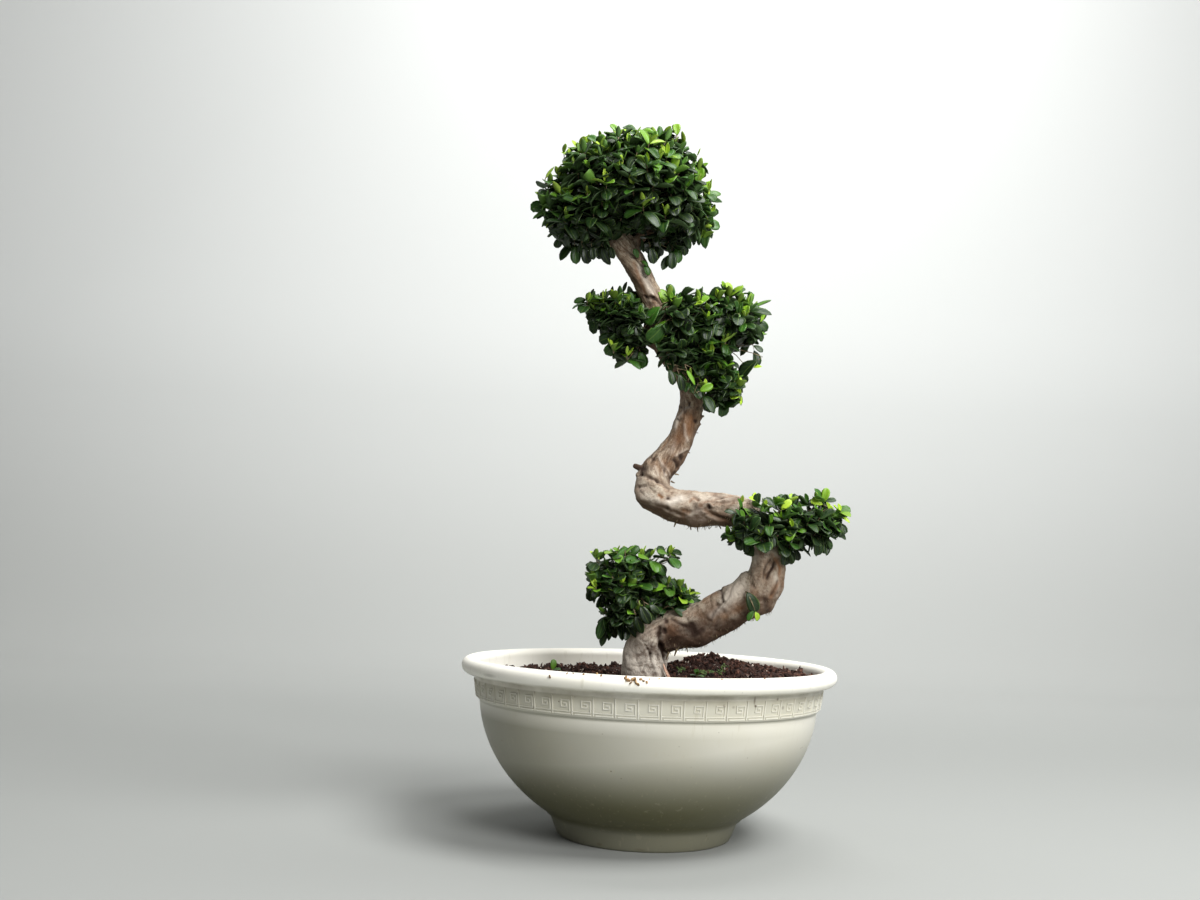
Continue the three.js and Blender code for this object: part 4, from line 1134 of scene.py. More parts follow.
def shoot_leaves(origin, axis, length, draw, old=0.0, flush=0.0, count=None):
    """The leaves at the end of a shoot. old darkens them as painted shade, as inside and under a head, and
    flush makes them younger.
    """
    side = Vector((0.3, 0.2, 1)).cross(axis).normalized()
    start = draw.uniform(0, 2 * math.pi)
    ripe = draw.uniform(-0.08, 0.12)
    young = draw.random() < flush
    leaves = []
    for order, (tilt, size, rested, flushed) in enumerate(SHOOT[:count]):
        spin = start + order * 2 * GOLDEN_ANGLE + draw.uniform(-0.5, 0.5)
        lean = math.radians(tilt + draw.uniform(-18, 18))
        out = Matrix.Rotation(spin, 3, axis) @ side
        along = axis * math.cos(lean) + out * math.sin(lean)
        along.z -= 0.22 * size * math.sin(lean)
        upper = axis * math.sin(lean) - out * math.cos(lean)
        upper += Vector((draw.uniform(-0.45, 0.45), draw.uniform(-0.45, 0.45), draw.uniform(0, 0.6)))
        base = origin - axis * (7 - order) * 1.6 * MM
        age = flushed if young else rested
        # old is painted shade: it lowers the leaf's age towards dark green and darkens its shade
        look = min(max((age + ripe) * (1 - old), 0.0), 1.0)
        kind = YOUNG_KIND if order > 5 else draw.randrange(5)
        shade = draw.uniform(0.75, 1.25) * (1 - 0.4 * old)
        leaves.append(leaf(base, along, upper, length * size * draw.uniform(0.8, 1.12), look, shade, kind))
    return leaves


# Single leaves that give the heads their outlines, by pixels of the photograph: where the blade starts,
# its tip, its depth along Y in mm, its age and its kind
LONE_LEAVES = {
    "foliage_top": [
        ((543, 204), (531, 207), 0, 0.4, 1), ((544, 211), (537, 220), 2, 0.2, 5),
        ((554, 222), (546, 229), 0, 0.9, 5), ((709, 199), (722, 204), 0, 0.3, 5),
        ((708, 195), (720, 190), -6, 0.55, 4), ((704, 224), (720, 224), 0, 0.5, 0),
        ((703, 228), (714, 233), 4, 0.2, 1), ((699, 234), (701, 244), 0, 0.3, 5),
        ((570, 246), (561, 262), 0, 0.2, 5), ((575, 249), (576, 263), -10, 0.35, 2),
        ((584, 250), (588, 262), -18, 0.0, 0), ((592, 249), (593, 259), -26, 0.0, 2),
        ((603, 250), (606, 263), -20, 0.0, 4), ((611, 249), (613, 258), -24, 0.0, 2),
        ((668, 258), (662, 271), -8, 0.1, 5), ((672, 254), (672, 268), -16, 0.15, 2),
        ((651, 250), (654, 262), -34, 0.05, 0), ((677, 250), (679, 262), -4, 0.5, 2),
        ((683, 245), (687, 253), 0, 0.1, 1), ((617, 131), (612, 123), -20, 0.75, 0),
        ((677, 133), (676, 123), -12, 0.8, 1), ((659, 134), (661, 126), -24, 0.5, 2),
        ((637, 134), (642, 127), -28, 0.95, 5), ((629, 135), (625, 128), -20, 0.9, 2),
        ((597, 142), (590, 134), -16, 0.5, 1), ((578, 148), (571, 141), -8, 0.95, 5),
        ((569, 156), (561, 153), -2, 0.9, 5),
    ],
    "foliage_middle_left": [
        ((584, 300), (574, 301), 6, 0.35, 2), ((587, 303), (578, 309), 4, 0.3, 5),
        ((593, 311), (587, 319), 4, 0.1, 2), ((598, 319), (590, 330), 8, 0.2, 1),
        ((603, 325), (606, 332), 6, 0.2, 2), ((612, 336), (600, 340), 8, 0.25, 1),
        ((616, 343), (608, 354), 8, 0.45, 1), ((620, 350), (620, 364), 6, 0.2, 0),
        ((629, 353), (630, 363), 4, 0.35, 2), ((636, 352), (634, 363), 0, 0.2, 2),
        ((641, 354), (645, 366), -4, 0.5, 1), ((591, 297), (595, 289), 10, 0.15, 5),
        ((612, 295), (614, 286), 6, 0.1, 5), ((624, 290), (628, 282), 4, 0.1, 5),
        ((631, 299), (628, 286), 2, 0.1, 5), ((636, 304), (633, 290), 0, 0.15, 1),
        ((640, 310), (639, 297), -8, 0.05, 0), ((645, 317), (645, 305), -18, 0.1, 1),
    ],
    "foliage_middle_right": [
        ((757, 306), (772, 302), 6, 0.6, 5), ((757, 321), (768, 329), 4, 0.25, 0),
        ((756, 332), (764, 338), 6, 0.2, 1), ((756, 347), (763, 351), 2, 0.2, 2),
        ((755, 353), (759, 365), 6, 0.15, 2), ((754, 362), (739, 371), -14, 0.05, 1),
        ((756, 367), (762, 368), 6, 0.98, 5), ((741, 373), (747, 382), -4, 0.1, 2),
        ((733, 389), (743, 382), -4, 0.6, 1), ((657, 309), (645, 320), -36, 0.5, 1),
        ((660, 313), (652, 322), -34, 0.1, 0), ((663, 312), (656, 320), -36, 0.2, 2),
        ((662, 327), (651, 341), -38, 0.42, 1), ((665, 322), (654, 328), -36, 0.65, 2),
        ((734, 392), (745, 400), -6, 0.95, 1), ((716, 399), (706, 409), -10, 0.05, 1),
        ((723, 402), (725, 415), -8, 0.3, 1), ((730, 400), (738, 404), -2, 0.35, 5),
        ((670, 372), (674, 384), -36, 0.1, 2), ((680, 377), (684, 389), -38, 0.05, 0),
        ((688, 373), (693, 386), -44, 0.72, 5), ((702, 390), (713, 385), -34, 0.75, 2),
        ((725, 292), (721, 281), 4, 0.8, 5), ((731, 291), (727, 282), 0, 0.9, 2),
        ((736, 293), (743, 286), 6, 0.35, 1), ((750, 302), (751, 291), 6, 0.35, 2),
        ((703, 294), (693, 288), 4, 0.25, 4), ((673, 295), (668, 284), -10, 0.5, 2),
        ((680, 300), (681, 291), -8, 0.4, 1), ((666, 303), (661, 288), -16, 0.8, 2),
        ((695, 306), (700, 299), -30, 0.92, 1),
    ],
    "foliage_right": [
        ((836, 516), (850, 507), -70, 0.55, 2), ((843, 517), (849, 524), -70, 0.95, 5),
        ((828, 530), (847, 531), -76, 0.1, 1), ((820, 541), (819, 555), -92, 0.2, 0),
        ((827, 541), (825, 556), -76, 0.1, 5), ((829, 541), (831, 550), -70, 0.3, 5),
        ((786, 550), (787, 565), -88, 0.05, 0), ((790, 551), (792, 564), -84, 0.1, 2),
        ((796, 551), (798, 560), -78, 0.0, 0), ((745, 541), (747, 553), -80, 0.15, 2),
        ((739, 537), (741, 550), -74, 0.25, 0), ((738, 534), (728, 538), -78, 0.78, 1),
        ((729, 534), (720, 538), -74, 0.3, 5), ((728, 532), (727, 525), -76, 0.65, 5),
        ((734, 513), (725, 510), -92, 0.1, 2), ((741, 509), (740, 498), -82, 0.5, 2),
        ((757, 504), (756, 494), -74, 0.2, 1), ((756, 500), (748, 498), -70, 0.98, 5),
        ((783, 508), (791, 500), -84, 1.0, 2), ((787, 503), (784, 496), -74, 0.2, 1),
        ((794, 504), (797, 495), -72, 0.15, 1), ((821, 501), (819, 488), -74, 0.5, 0),
        ((824, 500), (827, 488), -72, 0.8, 2), ((820, 503), (813, 499), -84, 0.92, 1),
        ((827, 501), (836, 499), -70, 0.25, 2), ((806, 498), (804, 493), -70, 0.4, 5),
    ],
    "foliage_lower_left": [
        ((596, 565), (585, 566), 0, 0.2, 5), ((598, 560), (595, 550), -2, 0.98, 4),
        ((601, 558), (607, 551), 0, 0.3, 5), ((594, 571), (590, 583), 0, 0.5, 5),
        ((594, 585), (591, 601), -6, 0.15, 0), ((597, 585), (594, 597), -12, 0.65, 2),
        ((602, 597), (601, 608), -8, 0.05, 1), ((604, 621), (599, 640), -10, 0.35, 5),
        ((606, 632), (602, 647), -8, 0.1, 5), ((605, 621), (608, 638), -14, 0.3, 5),
        ((611, 624), (617, 637), -16, 0.05, 4), ((621, 622), (621, 641), -22, 0.1, 5),
        ((629, 628), (625, 641), -30, 0.05, 5), ((597, 588), (589, 599), -4, 0.2, 4),
        ((637, 619), (642, 633), -52, 0.05, 4), ((642, 609), (649, 624), -56, 0.02, 2),
        ((651, 606), (660, 611), -58, 0.05, 4), ((662, 553), (660, 547), -4, 0.35, 1),
        ((669, 553), (671, 546), -6, 0.4, 2), ((673, 552), (681, 551), -2, 0.3, 1),
        ((673, 556), (677, 561), -4, 0.75, 5), ((668, 560), (677, 565), -8, 0.15, 0),
        ((658, 565), (667, 571), -10, 0.05, 0), ((659, 577), (665, 574), -6, 0.3, 1),
        ((667, 585), (665, 578), -14, 0.4, 1), ((676, 585), (674, 579), -12, 0.3, 1),
        ((678, 586), (685, 583), -16, 0.25, 1), ((688, 595), (701, 595), -18, 0.93, 5),
        ((688, 606), (702, 601), -34, 0.25, 1), ((677, 610), (691, 616), -50, 0.3, 2),
        ((619, 552), (614, 547), -6, 0.7, 2), ((624, 551), (624, 545), -10, 0.92, 5),
        ((633, 553), (638, 547), -6, 0.45, 1), ((641, 555), (643, 549), -4, 0.85, 5),
        ((648, 556), (650, 549), -2, 0.15, 1),
    ],
}

# The bright shoots that the photograph shows, by pixel
BRIGHT_SHOOTS = {
    "foliage_top": [
        (595, 156), (619, 168), (648, 163), (674, 174), (587, 193), (632, 185), (564, 198), (665, 214),
        (699, 170), (697, 156), (580, 145), (564, 152), (624, 131), (637, 131), (676, 129), (614, 128),
        (706, 202), (707, 225), (549, 185), (546, 177), (566, 217), (643, 204), (655, 140), (606, 182),
        (552, 208), (600, 138), (645, 131), (664, 133), (590, 144), (628, 146), (641, 151), (671, 148),
        (607, 150), (619, 138), (684, 143), (650, 146), (571, 160), (579, 150), (559, 176), (556, 197),
        (545, 203), (709, 190), (712, 214), (703, 238), (698, 182),
    ],
    "foliage_middle_left": [
        (588, 300), (627, 304), (617, 310), (613, 348), (627, 355), (604, 297),
    ],
    "foliage_middle_right": [
        (669, 297), (677, 306), (696, 329), (729, 296), (697, 304), (721, 368), (712, 354), (689, 377),
        (705, 387), (740, 386), (740, 395), (658, 332), (649, 316), (749, 306), (744, 318), (708, 318),
        (726, 340),
    ],
    "foliage_right": [
        (825, 494), (817, 500), (841, 511), (833, 514), (783, 537), (791, 536), (733, 536), (779, 505),
        (787, 503), (764, 508), (754, 502), (741, 504), (760, 537),
    ],
    "foliage_lower_left": [
        (596, 557), (617, 552), (625, 550), (641, 555), (651, 556), (623, 583), (632, 586), (596, 587),
        (621, 594), (668, 584), (680, 586), (689, 594), (670, 553), (681, 597), (593, 577),
    ],
}

# Heads: their lumps as (middle, half size over the leaf tips, how many shoots stand on it, how many fill
# it inside), which are the solids' own and a few small ones more, the limbs that their twigs grow from, and
# the places where single shoots stand out
HEADS = [
    {
        "node": "foliage_top", "seed": 11, "leaf": 27.5, "limbs": [4, 5],
        "lumps": [
            ((-44, 0, 878), (108, 108, 84), 130, 36),
            ((-98, 0, 838), (74, 82, 60), 60, 18),
            ((4, -4, 840), (68, 80, 60), 49, 17),
        ],
        "tips": [(-176, -8, 856), (72, 6, 864), (68, -14, 822)],
    },
    {
        "node": "foliage_middle_left", "seed": 23, "leaf": 23.5, "limbs": [3],
        "lumps": [
            ((-66, 10, 706), (48, 48, 36), 28, 8),
            ((-42, 10, 666), (32, 36, 38), 15, 4),
            ((-30, -14, 690), (30, 34, 42), 15, 2),
        ],
        "tips": [(-104, 8, 712)],
    },
    {
        "node": "foliage_middle_right", "seed": 37, "leaf": 25.5, "limbs": [2],
        "lumps": [
            ((86, 10, 697), (68, 68, 54), 47, 15),
            ((62, 8, 646), (54, 56, 44), 28, 9),
            ((94, -4, 604), (30, 32, 36), 11, 2),
            ((26, -16, 692), (36, 38, 52), 22, 2),
            ((22, -20, 650), (34, 30, 34), 12, 0),
        ],
        "tips": [(118, 0, 748)],
    },
    {
        "node": "foliage_right", "seed": 41, "leaf": 26, "limbs": [1],
        "lumps": [((142, -72, 408), (58, 56, 36), 25, 8), ((192, -70, 413), (54, 58, 36), 25, 7)],
        "tips": [(236, -70, 432), (214, -72, 456), (168, -76, 366)],
    },
    {
        "node": "foliage_lower_left", "seed": 59, "leaf": 23.5, "limbs": [0],
        "lumps": [
            ((-34, 0, 336), (56, 58, 46), 40, 11),
            ((34, -10, 313), (38, 44, 28), 20, 5),
            ((2, -12, 304), (42, 44, 28), 14, 4),
            ((-50, -6, 286), (27, 30, 40), 6, 2),
            ((-30, -30, 292), (26, 24, 26), 8, 3),
        ],
        "tips": [(-86, 0, 344)],
    },
]
# How far a shoot's leaves reach past its end, in mm
SHOOT_REACH = 15

# The heads' outlines, by pixels of the photograph: no leaf's tip lies outside them in that view
OUTLINES = {
    "foliage_top": [
        (529, 208), (540, 190), (543, 177), (555, 160), (566, 143), (587, 134), (609, 124), (635, 125),
        (660, 125), (677, 123), (692, 137), (707, 156), (713, 175), (720, 192), (722, 205), (714, 214),
        (719, 225), (711, 235), (700, 244), (688, 250), (673, 270), (661, 268), (651, 259), (616, 254),
        (605, 265), (587, 263), (573, 252), (562, 262), (551, 246), (545, 226), (535, 220),
    ],
    "foliage_middle_left": [
        (572, 300), (591, 288), (599, 291), (616, 283), (631, 280), (637, 296), (650, 308), (661, 317),
        (662, 342), (656, 353), (646, 366), (636, 362), (620, 366), (611, 355), (601, 342), (599, 331),
        (590, 332), (586, 323), (590, 316), (580, 307),
    ],
    "foliage_middle_right": [
        (659, 283), (673, 284), (684, 293), (695, 287), (711, 290), (719, 280), (738, 281), (755, 290),
        (757, 301), (774, 302), (764, 312), (770, 327), (766, 342), (761, 350), (763, 369), (753, 377),
        (743, 383), (744, 398), (739, 404), (727, 417), (706, 411), (703, 393), (683, 389), (671, 385),
        (665, 371), (657, 358), (648, 346), (642, 334), (646, 311), (652, 300),
    ],
    "foliage_right": [
        (719, 539), (722, 530), (727, 517), (724, 508), (736, 501), (740, 496), (754, 492), (762, 496),
        (783, 494), (797, 493), (808, 495), (818, 487), (829, 487), (832, 500), (850, 505), (852, 514),
        (847, 517), (848, 534), (835, 539), (831, 556), (818, 556), (801, 552), (800, 560), (791, 567),
        (784, 565), (781, 554), (766, 551), (747, 556), (737, 549), (735, 542),
    ],
    "foliage_lower_left": [
        (584, 567), (593, 558), (594, 549), (608, 548), (620, 545), (643, 546), (660, 545), (672, 544),
        (682, 548), (678, 568), (668, 573), (673, 577), (686, 580), (692, 590), (700, 593), (703, 607),
        (697, 615), (673, 616), (655, 619), (649, 628), (646, 639), (639, 637), (623, 644), (615, 635),
        (602, 648), (598, 635), (602, 617), (597, 606), (589, 601), (584, 595), (588, 575),
    ],
}
# How far leaves stay from the trunk's skin, in mm
TRUNK_CLEAR = 1.5
# Between the two middle heads the trunk shows: no leaf stands in front of it there (low, high, in mm)
TRUNK_WINDOW = ((-26, -90, 662), (-11, -8, 688))


def trunk_gap(place, rows):
    """How far a place is from the trunk's skin."""
    return float((np.linalg.norm(rows[:, :3] - np.array(place), axis=1) - rows[:, 3]).min())


def inside_other(place, lumps, this, share):
    """Whether a place lies inside another lump than its own."""
    for other in lumps:
        away = Vector(place) - mm(other[0])
        half = other[1]
        size = math.sqrt(sum((away[k] / ((half[k] - SHOOT_REACH) * MM)) ** 2 for k in range(3)))
        if other is not this and size < share:
            return True
    return False


def lump_shoots(lump, lumps, draw, inner):
    """Shoots on one lump, evenly spread over it or over a smaller one inside: origin, axis, height."""
    middle, half, outside, within = lump
    count = within if inner else outside
    depth = SHOOT_REACH * (2.2 if inner else 1)
    size = [max(value - depth, 6) * MM for value in half]
    found = []
    for order in range(count):
        height = 1 - 2 * (order + 0.5) / count
        around = order * GOLDEN_ANGLE + len(lumps) + (1.3 if inner else 0)
        level = math.sqrt(1 - height ** 2)
        facing = Vector((level * math.cos(around), level * math.sin(around), height))
        rough = draw.uniform(0.84, 1.05)
        origin = mm(middle) + Vector([facing[k] * size[k] * rough for k in range(3)])
        normal = Vector([facing[k] / size[k] for k in range(3)]).normalized()
        # Shoots turn up to the light, and those underneath hang
        rise = 1.15 if height > -0.4 else -0.5
        jitter = Vector((draw.uniform(-0.4, 0.4), draw.uniform(-0.4, 0.4), rise + draw.uniform(-0.3, 0.3)))
        if not inside_other(origin, lumps, lump, 0.92):
            found.append((origin, (normal + jitter).normalized(), height))
    return found


def twig_rows(start, end, axis, draw, thick):
    """A bent twig from a limb to a shoot, as path rows in metres."""
    bend = Vector([draw.uniform(-0.05, 0.05) for _ in range(3)])
    middle = start.lerp(end, 0.55) + bend * (end - start).length
    before = end - axis * 8 * MM
    rows = []
    for share, place in ((0, start), (0.5, middle), (0.85, before), (1, end)):
        rows.append([*(place / MM), thick * (1 - 0.6 * share)])
    return smooth_path(rows, 2)


def reach_box(head):
    """How far the head's leaves may go: its solid's box, and the lumps that lie in front of the trunk."""
    low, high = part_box(head["node"])
    low = [value - 6 * MM for value in low]
    high = [value + 6 * MM for value in high]
    for middle, half, *_ in head["lumps"]:
        for k in range(3):
            low[k] = min(low[k], (middle[k] - half[k]) * MM)
            high[k] = max(high[k], (middle[k] + half[k]) * MM)
    return low, high


def in_outline(place, corners):
    """Whether a place shows inside an outline of the photograph: an odd number of sides lies left of it."""
    x, y = to_pixels(np.array([place]))[0]
    inside = False
    for (x1, y1), (x2, y2) in zip(corners, corners[1:] + corners[:1]):
        if (y1 > y) != (y2 > y) and x > x1 + (y - y1) / (y2 - y1) * (x2 - x1):
            inside = not inside
    return inside


def in_window(place):
    low, high = TRUNK_WINDOW
    return all(low[k] * MM < place[k] < high[k] * MM for k in range(3))


def front_depth(pixel, lumps):
    """The depth in mm at which the view through a pixel meets the front of a head's lumps, shoots' high."""
    nearest = []
    for middle, half, *_ in lumps:
        place = at_pixel(pixel, middle[1]) / MM
        size = [value - SHOOT_REACH for value in half]
        left = 1 - ((place.x - middle[0]) / size[0]) ** 2 - ((place.z - middle[2]) / size[2]) ** 2
        nearest.append(middle[1] - size[1] * math.sqrt(max(left, 0)))
    return min(nearest)


def flush_at(place, height):
    """The share of shoots that have just flushed: they come in groups, most of them near the top."""
    group = noise.noise(place / 0.042)
    return min(max(0.04 + 0.2 * max(height + 0.1, 0) + 0.8 * group, 0.02), 0.9)


def head_shoots(head, draw):
    """A head's shoots as (origin, axis, how much painted shade darkens it, chance that it has just flushed,
    how many leaves).
    """
    shoots = []
    for lump in head["lumps"]:
        for origin, axis, height in lump_shoots(lump, head["lumps"], draw, False):
            # Painted shade: shoots low on a lump are darker
            dark = max(0.0, -0.7 * height)
            shoots.append((origin, axis, dark, flush_at(origin, height), None))
        # Painted shade: the shoots that fill a head inside are dark
        for origin, axis, height in lump_shoots(lump, head["lumps"], draw, True):
            shoots.append((origin, axis, 0.85, 0.0, 6))
    for pixel in BRIGHT_SHOOTS[head["node"]]:
        origin = at_pixel(pixel, front_depth(pixel, head["lumps"]))
        axis = Vector((draw.uniform(-0.3, 0.3), -0.45 + draw.uniform(-0.25, 0.25), 1)).normalized()
        shoots.append((origin, axis, 0.0, 1.0, None))
    for place in head["tips"]:
        end = mm(place)
        near = min(head["lumps"], key=lambda lump: (mm(lump[0]) - end).length)
        axis = (end - mm(near[0])).normalized()
        shoots.append((end - axis * 14 * MM, axis, 0.0, 0.5, None))
    return shoots


def make_head(head, trunk_rows, kit, twig_wood):
    """One head: its lone leaves, and its shoots' leaves where they have room, each on its twig."""
    draw = random.Random(head["seed"])
    shoots = head_shoots(head, draw)
    nodes_at = [mm(point) for number in head["limbs"] for point in LIMBS[number][1:]]
    low, high = reach_box(head)
    leaves, twigs = [], []
    for base, tip, depth, age, kind in LONE_LEAVES[head["node"]]:
        start, end = at_pixel(base, depth), at_pixel(tip, depth - 3)
        size = max(1.25 * (end - start).length, 16 * MM)
        start = end - (end - start).normalized() * size
        upper = Vector((draw.uniform(-0.6, 0.6), -0.8, draw.uniform(0.2, 1.1)))
        leaves.append(leaf(start, end - start, upper, size, age, 1.0, kind))
        root = min(nodes_at, key=lambda node: (node - start).length)
        twigs.append(twig_rows(root, start, (end - start).normalized(), draw, 0.9))
    for origin, axis, old, flush, count in shoots:
        made = shoot_leaves(origin, axis, head["leaf"] * MM, draw, old, flush, count)
        start = min(nodes_at, key=lambda node: (node - origin).length)
        twigs.append(twig_rows(start, origin, axis, draw, draw.uniform(1.1, 1.7)))
        for row in made:
            base, tip = row["base"], row["tip"]
            gap = min(trunk_gap(tip, trunk_rows), trunk_gap(base.lerp(tip, 0.5), trunk_rows))
            inside = all(low[k] < tip[k] < high[k] for k in range(3))
            inside = inside and in_outline(tip, OUTLINES[head["node"]])
            if gap > TRUNK_CLEAR * MM and inside and not in_window(base.lerp(tip, 0.6)):
                leaves.append(row)
    foliage = leaves_object(head["node"] + "_leaves", leaves, kit)
    finish_piece(foliage, "leaves", head["node"])
    wood = tubes_object(head["node"] + "_twigs", twigs, 5)
    finish_piece(wood, "bark", material=twig_wood)


# Small shoots that are not part of a head: the stem, then each leaf's base, tip, upper side and age
SPRIGS = {
    "sprig_bend": (
        [(120, -66, 326), (120, -88, 324), (126, -92, 312), (130, -93, 303)],
        [
            ((119, -91, 326), (133, -95, 301), (0.3, -0.95, 0.1), 0.12),
            ((130, -93, 301), (135.5, -95, 291), (0.3, -0.9, 0.2), 0.92),
            ((128, -92, 302), (120, -96, 290), (-0.2, -0.9, 0.3), 0.5),
        ],
    ),
    "sprig_upper_trunk": (
        [(-38, -14, 770), (-33, -28, 771), (-24, -31, 762)],
        [
            ((-25, -30, 763), (-17, -34, 750), (0.4, -0.9, 0.2), 0.45),
            ((-29, -30, 768), (-20, -34, 764), (0.3, -0.8, 0.4), 0.5),
            ((-33, -28, 772), (-39, -34, 783), (-0.2, -0.9, 0.1), 0.45),
        ],
    ),
    "seedling": (
        [(-131, 40, 188), (-131, 40, 203), (-130, 38, 209)],
        [
            ((-130, 38, 207), (-128, 35, 221), (0.1, -1, 0.2), 0.62),
            ((-130, 39, 206), (-121, 35, 212), (-0.5, -0.3, 0.8), 0.5),
        ],
    ),
    "weed": (
        [(63, -20, 186), (63, -20, 206), (64, -22, 212)],
        [
            ((64, -21, 211), (56, -25, 215), (0.5, 0, 0.8), 0.5),
            ((64, -21, 211), (72, -26, 214), (-0.5, 0, 0.8), 0.55),
            ((64, -22, 212), (65, -29, 219), (0, 0.8, 0.5), 0.65),
            ((64, -22, 212), (63, -14, 219), (0, -0.5, 0.8), 0.45),
        ],
    ),
}


def make_sprig(node, kit, stem_wood):
    stem, blades = SPRIGS[node]
    leaves = []
    for number, (base, tip, upper, age) in enumerate(blades):
        way = mm(tip) - mm(base)
        leaves.append(leaf(mm(base), way, Vector(upper), way.length, age, 1.0, number % 4))
    foliage = leaves_object(node + "_leaves", leaves, kit)
    finish_piece(foliage, "young_leaves", node)
    rows = smooth_path([[*point, 1.2 - 0.25 * order] for order, point in enumerate(stem)], 4)
    stalk = tubes_object(node + "_stem", [rows], 7)
    finish_piece(stalk, "young_leaves", material=stem_wood)


# Soil, as in the solid
SOIL_LEVEL = 200
SOIL_AT_WALL = 211
SOIL_RADIUS = 222
# How far it stays off the pot's wall
WALL_GAP = 0.8
# Heaps as (x, y, height, spread), and the rise to the right as (height, start, end)
HEAP = (82, 70, 25, 62)
COLLAR = (0, -10, 4, 60)
RIGHT_RISE = (11, 0, 190)
# How many loose bits lie on it
CRUMBS = 5200
STICKS = 150
GRAINS = 340
MOSS_CRUMBS = 260
# How far the crumbs on the rim stand out of it
CRUMB_LIFT = 0.3


def soil_level(x, y):
    """The soil's height in mm at a place in mm: the solid's own heaps and ripples."""
    rise, start, end = RIGHT_RISE
    share = min(max((x - start) / (end - start), 0), 1)
    level = SOIL_LEVEL + rise * share * share * (3 - 2 * share)
    for heap_x, heap_y, height, spread in (HEAP, COLLAR):
        level += height * math.exp(-((x - heap_x) ** 2 + (y - heap_y) ** 2) / spread ** 2)
    return level + 1.8 * math.sin(x / 9 + y / 17) + 1.5 * math.sin(y / 8 - x / 21)


def soil_surface(x, y):
    """The finer surface: crumbs and hollows on top of the level."""
    place = Vector((x, y, 0))
    rough = 3.4 * noise.fractal(place / 17, 1.0, 2.0, 3) + 1.4 * noise.fractal(place / 5, 1.0, 2.0, 2)
    return soil_level(x, y) + rough


def inner_wall(height):
    """The pot's inner radius in mm."""
    if height < BOWL_TOP:
        return bowl_radius(height) - WALL
    share = (height - BOWL_TOP) / (BAND[1][1] - BOWL_TOP)
    return bowl_radius(BOWL_TOP) - WALL + share * (BAND[1][0] - bowl_radius(BOWL_TOP))


def make_soil(material):
    """The fill: rings up the pot's wall, then rings in from the wall over its heaped surface."""
    segments = 220
    rings = [(103 - WALL_GAP, 12)]
    rings += [(inner_wall(height) - WALL_GAP, height) for height in (30, 70, 120, 160, 188)]
    rings += [(radius, None) for radius in (226.2, *reversed(np.linspace(4, SOIL_RADIUS, 84)))]
    points = []
    for radius, level in rings:
        for step in range(segments):
            angle = 2 * math.pi * step / segments
            x, y = radius * math.cos(angle), radius * math.sin(angle)
            height = level or soil_surface(x, y)
            if radius > 205:
                height = min(height, SOIL_AT_WALL)
            points.append(Vector((x, y, height)) * MM)
    faces = ring_faces(len(rings), segments)
    faces.append(tuple(reversed(range(segments))))
    top = (len(rings) - 1) * segments
    faces.append(tuple(top + step for step in range(segments)))
    soil = mesh_object("soil_mix", points, faces)
    store(soil.data, "shade", "FLOAT", [0.75] * len(points))
    finish_piece(soil, "soil", "soil", material=material)


def chunk_kind(name, sides, rough, seed):
    """A rough lump of bark one unit across: a coarse icosphere, stretched along its axes, with moved corners.
    """
    draw = random.Random(seed)
    mesh = bmesh.new()
    bmesh.ops.create_icosphere(mesh, subdivisions=1, radius=0.5)
    for vert in mesh.verts:
        scale = [side * draw.uniform(1 - rough, 1 + rough) for side in sides]
        vert.co = Vector([vert.co[k] * scale[k] for k in range(3)])
    data = bpy.data.meshes.new(name)
    mesh.to_mesh(data)
    mesh.free()
    return bpy.data.objects.new(name, data)


def loose_collection(name, members):
    """A collection that only the geometry trees see."""
    made = bpy.data.collections.new(name)
    for member in members:
        made.objects.link(member)
    return made


def drop_collection(group):
    """Removes a collection and its objects once the trees have used them."""
    for member in list(group.objects):
        bpy.data.objects.remove(member)
    bpy.data.collections.remove(group)


def loose_bit(place, turn, size, shade, kind):
    return {"base": place, "turn": turn, "size": size * MM, "age": 0.0, "shade": shade, "kind": kind}


def litter_rows(count, seed, radius, sizes, lift=0.0, near=None):
    """Loose bits at random places on the soil, lifted by some mm. near is how likely one lies at a place."""
    draw = random.Random(seed)
    rows = []
    while len(rows) < count:
        around = draw.uniform(0, 2 * math.pi)
        out = radius * math.sqrt(draw.random())
        x, y = out * math.cos(around), out * math.sin(around)
        if near and draw.random() > near(x, y):
            continue
        size = draw.triangular(*sizes)
        place = Vector((x, y, soil_surface(x, y) + 0.12 * size + lift)) * MM
        turn = [draw.uniform(0, 2 * math.pi) for _ in range(3)]
        rows.append(loose_bit(place, turn, size, draw.choice((0.55, 0.8, 1.0, 1.25, 1.7)), draw.randrange(5)))
    return rows


# Where moss has begun to grow, by pixels of the photograph, and its radius in mm
MOSS_PIXELS = [((681, 671), 4), ((703, 673.5), 4.5), ((712, 673.5), 5), ((720, 673), 4), ((724, 668), 3)]


def on_soil(pixel):
    """The place in mm at which the view through a pixel first meets the soil."""
    for depth in range(-SOIL_RADIUS, SOIL_RADIUS):
        place = at_pixel(pixel, depth) / MM
        if math.hypot(place.x, depth) < SOIL_RADIUS and place.z < soil_surface(place.x, depth) + 1:
            break
    return place.x, depth


MOSS = [(on_soil(pixel), radius) for pixel, radius in MOSS_PIXELS] + [((-66, -64), 5), ((150, -90), 5)]


def mossy(x, y):
    """How likely a crumb of moss lies at a place in mm."""
    return max(math.exp(-((x - place[0]) ** 2 + (y - place[1]) ** 2) / size ** 2) for place, size in MOSS)


